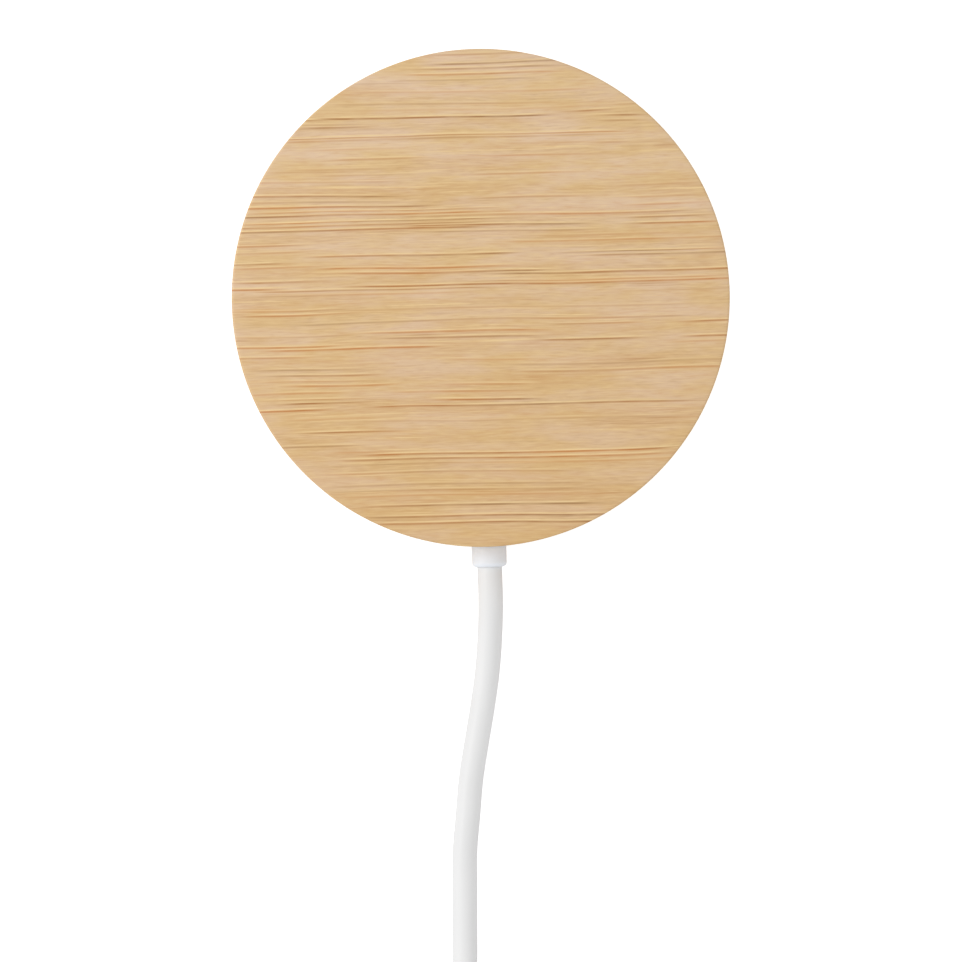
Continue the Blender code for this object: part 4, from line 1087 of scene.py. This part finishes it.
# %% Strap
TIE_WIDTH = 5.0 * MM
TIE_GAP = 0.2 * MM
HOLLOW_GAP = 0.3 * MM
STRAP_BEND = 1.5 * MM
STRAP_STEP = 1.0 * MM
ring_inner = OUTER_TURN_RADIUS - TURNS / 2 * TURN_PITCH - CORD_RADIUS
strap_inner = ring_inner - TIE_GAP - TIE_THICKNESS - HOLLOW_GAP
strap_outer = OUTER_TURN_RADIUS + CORD_RADIUS + TIE_GAP
strap_height = tie_high.z - TIE_THICKNESS
middle_out = (strap_inner + strap_outer + TIE_THICKNESS) / 2
middle_up = (TIE_THICKNESS + strap_height) / 2
corners = rounded_rectangle(strap_outer - strap_inner, strap_height, STRAP_BEND, 8)
strap_line = []
for (x0, y0), (x1, y1) in zip(corners, [*corners[1:], corners[0]]):
    steps = max(1, int(math.hypot(x1 - x0, y1 - y0) / STRAP_STEP))
    for step in range(steps):
        x, y = x0 + (x1 - x0) * step / steps, y0 + (y1 - y0) * step / steps
        strap_line.append((middle_out + x, middle_up + y))
tie = add_piece("cord_strap", strap_mesh("cord_strap", strap_line, TIE_WIDTH, TIE_THICKNESS), 50.0)
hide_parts("cord_tie")
print("strap faces", len(tie.data.polygons))

# %% [markdown]
# ## Rows of small arcs
# A sewn seam is a row of short arched stitches, and a connector's contacts are a row of sprung
# leaves. Both are the same rule: one small arc, repeated along a line. The tree takes the three
# points of the arc, its width and thickness, how many there are and the step from each to the next.

# %% Arc row tree
def arc_row_tree():
    inputs = {"Start": "Geometry", "Count": 12, "Step": "Vector", "From": "Vector"}
    inputs |= {"Over": "Vector", "To": "Vector", "Width": 0.0003, "Thickness": 0.0001}
    tree, get = geometry_tree("arc_row", inputs)
    line = step_of(tree, "MeshLine", {"Count": get["Count"], "Offset": get["Step"]})
    inputs = {"Resolution": 6, "Start": get["From"], "Middle": get["Over"], "End": get["To"]}
    bend = step_of(tree, "CurveQuadraticBezier", inputs)
    inputs = {"Width": get["Width"], "Height": get["Thickness"]}
    section = step_of(tree, "CurvePrimitiveQuadrilateral", inputs)
    inputs = {"Curve": bend, "Profile Curve": section, "Fill Caps": True}
    leaf = step_of(tree, "CurveToMesh", inputs)
    copies = step_of(tree, "InstanceOnPoints", {"Points": line, "Instance": leaf})
    return end_tree(tree, copies, get["Finish"])


ARC_ROW = arc_row_tree()
print("tree:", ARC_ROW.name, "nodes:", len(ARC_ROW.nodes))


def row_of_arcs(count, pitch, points, size, finish):
    """Arcs of (width, thickness) through three points, repeated along X."""
    sizes = {"Count": count, "Step": (pitch, 0.0, 0.0), "Finish": FINISHES[finish]}
    sizes |= dict(zip(("From", "Over", "To"), points)) | dict(zip(("Width", "Thickness"), size))
    return made_by(ARC_ROW, "arc_row", sizes)


# %% [markdown]
# ### The strap's lap and its stitches
# The strap's end laps over its own top face and is sewn down there, with a row of stitches along
# each edge.

# %% Strap lap and stitches
LAP_LENGTH, LAP_THICKNESS = 10.0 * MM, 0.5 * MM
LAP_STEPS = 10
STITCHES, STITCH_PITCH = 9, 1.0 * MM
STITCH_LENGTH, STITCH_RISE, STITCH_SINK = 0.64 * MM, 0.28 * MM, 0.08 * MM
STITCH_INSET = 0.7 * MM
THREAD_SIZE = (0.18 * MM, 0.14 * MM)
lap_start = middle_out - LAP_LENGTH / 2
lap_up = tie_high.z + LAP_THICKNESS / 2
lap_line = [(lap_start + LAP_LENGTH * n / LAP_STEPS, lap_up) for n in range(LAP_STEPS + 1)]
lap_mesh = strap_mesh("strap_lap", lap_line, TIE_WIDTH, LAP_THICKNESS, closed_row=False)
lap = add_piece("strap_lap", lap_mesh, 50.0)
strap_top = tie_high.z + LAP_THICKNESS
first_stitch = lap_start + STITCH_PITCH / 4
stitch_rows = []
for side in (-1, 1):
    seam = side * (TIE_WIDTH / 2 - STITCH_INSET)
    points = [
        (first_stitch, seam, strap_top - STITCH_SINK),
        (first_stitch + STITCH_LENGTH / 2, seam, strap_top + STITCH_RISE),
        (first_stitch + STITCH_LENGTH, seam, strap_top - STITCH_SINK),
    ]
    stitch_rows.append(row_of_arcs(STITCHES, STITCH_PITCH, points, THREAD_SIZE, "thread"))
stitch_mesh = joined("strap_stitches", stitch_rows)
stitch_mesh.transform(tie_place)
stitches = add_piece("strap_stitches", stitch_mesh, 50.0)
print("stitches:", 2 * STITCHES)

# %% [markdown]
# ## The plug
# A USB-C plug ends the cord. The body is a soft-cornered block a little slimmer at its ends, the
# tapered strain relief is moulded on behind it, and the steel shell stands out in front with its
# lining and twelve contacts above and below.

# %% Plug body and shell
BODY_CORNER = 2.6 * MM
BODY_EDGE = 0.9 * MM
EDGE_STEPS = 6
SHELL_WALL = 0.3 * MM
SHELL_LIP = 0.12 * MM
SHELL_ROOT = 0.6 * MM
LEAST_CORNER = 0.05 * MM
body_low, body_high, body_middle = size_of("plug_body")
shell_low, shell_high, _ = size_of("plug_shell")


def along_plug(name, outline, sections, finish, closed_row=False):
    """Sections (y, inset) of one rounded outline (width, height, corner, steps) as a piece."""
    width, height, corner, steps = outline
    rings = []
    for y, inset in sections:
        corner_here = max(corner - inset, LEAST_CORNER)
        points = rounded_rectangle(width - 2 * inset, height - 2 * inset, corner_here, steps)
        rings.append([Vector((body_middle.x + x, y, body_middle.z + z)) for x, z in points])
    mesh = joined_rings(name, rings, closed_row=closed_row, caps=not closed_row)
    mesh.materials.append(finish)
    return add_piece(name, mesh, 50.0)


back, front = body_high.y, body_low.y
edge = arc((BODY_EDGE, BODY_EDGE), -BODY_EDGE, 0, 90, EDGE_STEPS)
straight = back - front - 2 * BODY_EDGE
sections = [(back - depth, inset) for depth, inset in edge]
sections += [(back - BODY_EDGE - straight * share, 0.0) for share in (0.25, 0.5, 0.75)]
sections += [(front + depth, inset) for depth, inset in reversed(edge)]
body_size = (body_high.x - body_low.x, body_high.z - body_low.z)
outline = (*body_size, BODY_CORNER, 10)
plug = along_plug("plug_grip", outline, sections, FINISHES["plug_plastic"])
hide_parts("plug_body")

shell_size = (shell_high.x - shell_low.x, shell_high.z - shell_low.z)
outline = (*shell_size, shell_size[1] / 2 - 0.02 * MM, 12)
mouth, root = shell_low.y, front + SHELL_ROOT
sections = [
    (root, 0.0),
    (mouth + SHELL_LIP, 0.0),
    (mouth + 0.03 * MM, 0.05 * MM),
    (mouth, SHELL_LIP),
    (mouth, SHELL_WALL - 0.05 * MM),
    (mouth + 0.1 * MM, SHELL_WALL),
    (root, SHELL_WALL),
]
shell = along_plug("plug_tube", outline, sections, FINISHES["plug_steel"], closed_row=True)
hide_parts("plug_shell")
in_mm = [[round(side / MM, 2) for side in size] for size in (body_size, shell_size)]
print("plug body", in_mm[0], "shell", in_mm[1])

# %% [markdown]
# ### The plug's contacts
# Twelve sprung leaves stand along the top of the opening and twelve along the bottom, half a
# millimetre apart, in a dark lining.

# %% Plug contacts
CONTACTS, CONTACT_PITCH = 12, 0.5 * MM
CONTACT_SIZE = (0.24 * MM, 0.1 * MM)
LINING_WALL = 0.35 * MM
# each leaf's front end, its crest and its back end, from the lining's mouth
LEAF = (0.5 * MM, 1.5 * MM, 4.5 * MM)
LEAF_RISE = 0.35 * MM
LEAF_SINK = 0.02 * MM
lining_low, _, _ = size_of("plug_insulator")
inside_half = shell_size[1] / 2 - SHELL_WALL - LINING_WALL
first_x = body_middle.x - CONTACT_PITCH * (CONTACTS - 1) / 2
contact_rows = []
for side in (-1, 1):
    wall = body_middle.z + side * (inside_half + LEAF_SINK)
    heights = (wall, wall - side * LEAF_RISE, wall)
    points = [(first_x, lining_low.y + y, z) for y, z in zip(LEAF, heights)]
    row = row_of_arcs(CONTACTS, CONTACT_PITCH, points, CONTACT_SIZE, "contact_plain")
    contact_rows.append(row)
contacts = add_piece("plug_contacts", joined("plug_contacts", contact_rows), 50.0)
print("contacts:", 2 * CONTACTS)

# %% [markdown]
# ### The strain relief
# Behind the body the moulding tapers down to the cord. Ribs round it let it bend in a curve instead
# of kinking. Geometry Nodes sets the ribs along the axis, each one larger than the one before.

# %% Ribs tree
def ribs_tree():
    inputs = {"Start": "Geometry", "Count": 6, "First place": 0.0, "Step": 0.001}
    inputs |= {"First radius": 0.002, "Last radius": 0.003, "Thickness": 0.0004}
    tree, get = geometry_tree("ribs", inputs)
    start = from_xyz(tree, z=get["First place"])
    step = from_xyz(tree, z=get["Step"])
    inputs = {"Count": get["Count"], "Start Location": start, "Offset": step}
    line = step_of(tree, "MeshLine", inputs)
    inputs = {"Resolution": 40, "Radius": get["First radius"]}
    circle = step_of(tree, "CurvePrimitiveCircle", inputs)
    inputs = {"Resolution": 10, "Radius": calculate(tree, "MULTIPLY", get["Thickness"], 0.5)}
    section = step_of(tree, "CurvePrimitiveCircle", inputs)
    rib = step_of(tree, "CurveToMesh", {"Curve": circle, "Profile Curve": section})
    last = calculate(tree, "SUBTRACT", get["Count"], 1.0)
    share = calculate(tree, "DIVIDE", step_of(tree, "InputIndex"), last)
    ratio = calculate(tree, "DIVIDE", get["Last radius"], get["First radius"])
    growth = calculate(tree, "MULTIPLY", share, calculate(tree, "SUBTRACT", ratio, 1.0))
    wide = calculate(tree, "ADD", growth, 1.0)
    inputs = {"Points": line, "Instance": rib, "Scale": from_xyz(tree, wide, wide, 1.0)}
    copies = step_of(tree, "InstanceOnPoints", inputs)
    return end_tree(tree, copies, get["Finish"])


RIBS_TREE = ribs_tree()
print("tree:", RIBS_TREE.name, "nodes:", len(RIBS_TREE.nodes))

# %% [markdown]
# The tapered core is turned on the lathe, a little slimmer than the solid, so that the ribs reach
# the solid's outline. Both are then laid along the cord's far end.

# %% Strain relief
BACK_RADIUS, FRONT_RADIUS = 1.9 * MM, 2.7 * MM
BACK_ROUND = 0.25 * MM
CORE_INSET = 0.22 * MM
# along the core, from its back end and to its front end, where the taper starts and ends
TAPER_FROM, TAPER_TO = 1.0 * MM, 0.6 * MM
RIBS, RIB_THICKNESS = 6, 0.42 * MM
RIBS_FROM, RIBS_TO = 1.3 * MM, 1.0 * MM
# how far the first rib stands out of the core, and the last one lies inside the front radius
RIB_STAND, RIB_INSET = 0.02 * MM, 0.18 * MM
relief_start, relief_end = -relief_high.y, -relief_low.y
along_relief = Matrix.Translation((relief_middle.x, 0.0, relief_middle.z)) @ AROUND_CORD_AXIS
in_body = relief_end + BODY_EDGE
core_profile = [(bore, relief_start)]
core_profile += arc((BACK_RADIUS - BACK_ROUND, relief_start + BACK_ROUND), BACK_ROUND, -90, 0, 4)
core_profile += [(BACK_RADIUS, relief_start + TAPER_FROM)]
core_profile += [(FRONT_RADIUS - CORE_INSET, relief_end - TAPER_TO), (FRONT_RADIUS, relief_end)]
core_profile += [(FRONT_RADIUS, in_body), (bore, in_body), (bore, relief_start)]
relief_mesh = lathed("strain_relief", core_profile, 48, FINISHES["plug_plastic"], along_relief)
relief = add_piece("strain_relief", relief_mesh)
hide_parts("plug_strain_relief")
rib_start, rib_end = relief_start + RIBS_FROM, relief_end - RIBS_TO
rib_sizes = {
    "Count": RIBS,
    "First place": rib_start,
    "Step": (rib_end - rib_start) / (RIBS - 1),
    "First radius": BACK_RADIUS + RIB_STAND,
    "Last radius": FRONT_RADIUS - RIB_INSET,
    "Thickness": RIB_THICKNESS,
    "Finish": FINISHES["plug_plastic"],
}
rib_mesh = made_by(RIBS_TREE, "relief_ribs", rib_sizes)
rib_mesh.transform(along_relief)
ribs = add_piece("relief_ribs", rib_mesh, 50.0)
print("ribs:", RIBS, "faces", len(rib_mesh.polygons))

# %% [markdown]

# %% [markdown]
# ## Floor, light and surroundings
# The pad lies on a plain white sheet under an even white sky. The sheet is lit a little from
# behind, which only the camera sees, so that shadows stay faint and the sheet doesn't light the
# cord from below. One soft lamp close by on the left gives the white cord its shape.

# %% Floor and light
FLOOR_SIZE = 6.0
FLOOR_GLOW = 0.6
SKY = 0.81
WHITE = (1.0, 1.0, 1.0, 1.0)
LAMP_PLACE = Vector((-0.33, 0.06, 0.27))
LAMP_SIZE, LAMP_WATTS = 0.25, 0.56


def floor_finish():
    material, tree, shader = new_finish(
        "floor_sheet", Roughness=0.9, Specular_IOR_Level=0.0, Emission_Color=WHITE
    )
    place = add_node(tree, "ShaderNodeTexCoord").outputs["Object"]
    cloud = noise(tree, place, 30.0)
    tone = blend_colours(tree, cloud, linear(240, 240, 240), linear(246, 246, 246))
    tree.links.new(tone, shader.inputs["Base Color"])
    seen = add_node(tree, "ShaderNodeLightPath").outputs["Is Camera Ray"]
    glow = calculate(tree, "MULTIPLY", seen, FLOOR_GLOW)
    tree.links.new(glow, shader.inputs["Emission Strength"])
    return material


floor_mesh = bpy.data.meshes.new("floor_sheet")
reach = FLOOR_SIZE / 2
corners = [(x * reach, y * reach, 0.0) for x, y in ((-1, -1), (1, -1), (1, 1), (-1, 1))]
floor_mesh.from_pydata(corners, [], [(0, 1, 2, 3)])
floor_mesh.materials.append(floor_finish())
floor_object = bpy.data.objects.new("floor_sheet", floor_mesh)
scene.collection.objects.link(floor_object)

world = bpy.data.worlds.new("studio")
world.use_nodes = True
sky = world.node_tree.nodes["Background"]
sky.inputs["Color"].default_value = WHITE
sky.inputs["Strength"].default_value = SKY
scene.world = world

lamp_data = bpy.data.lights.new("lamp_left", "AREA")
lamp_data.shape = "SQUARE"
lamp_data.size = LAMP_SIZE
lamp_data.energy = LAMP_WATTS
lamp = bpy.data.objects.new("lamp_left", lamp_data)
lamp.location = LAMP_PLACE
lamp.rotation_euler = (-LAMP_PLACE).to_track_quat("-Z", "Y").to_euler()
lamp.visible_camera = False
scene.collection.objects.link(lamp)
print("floor and lamp in place")
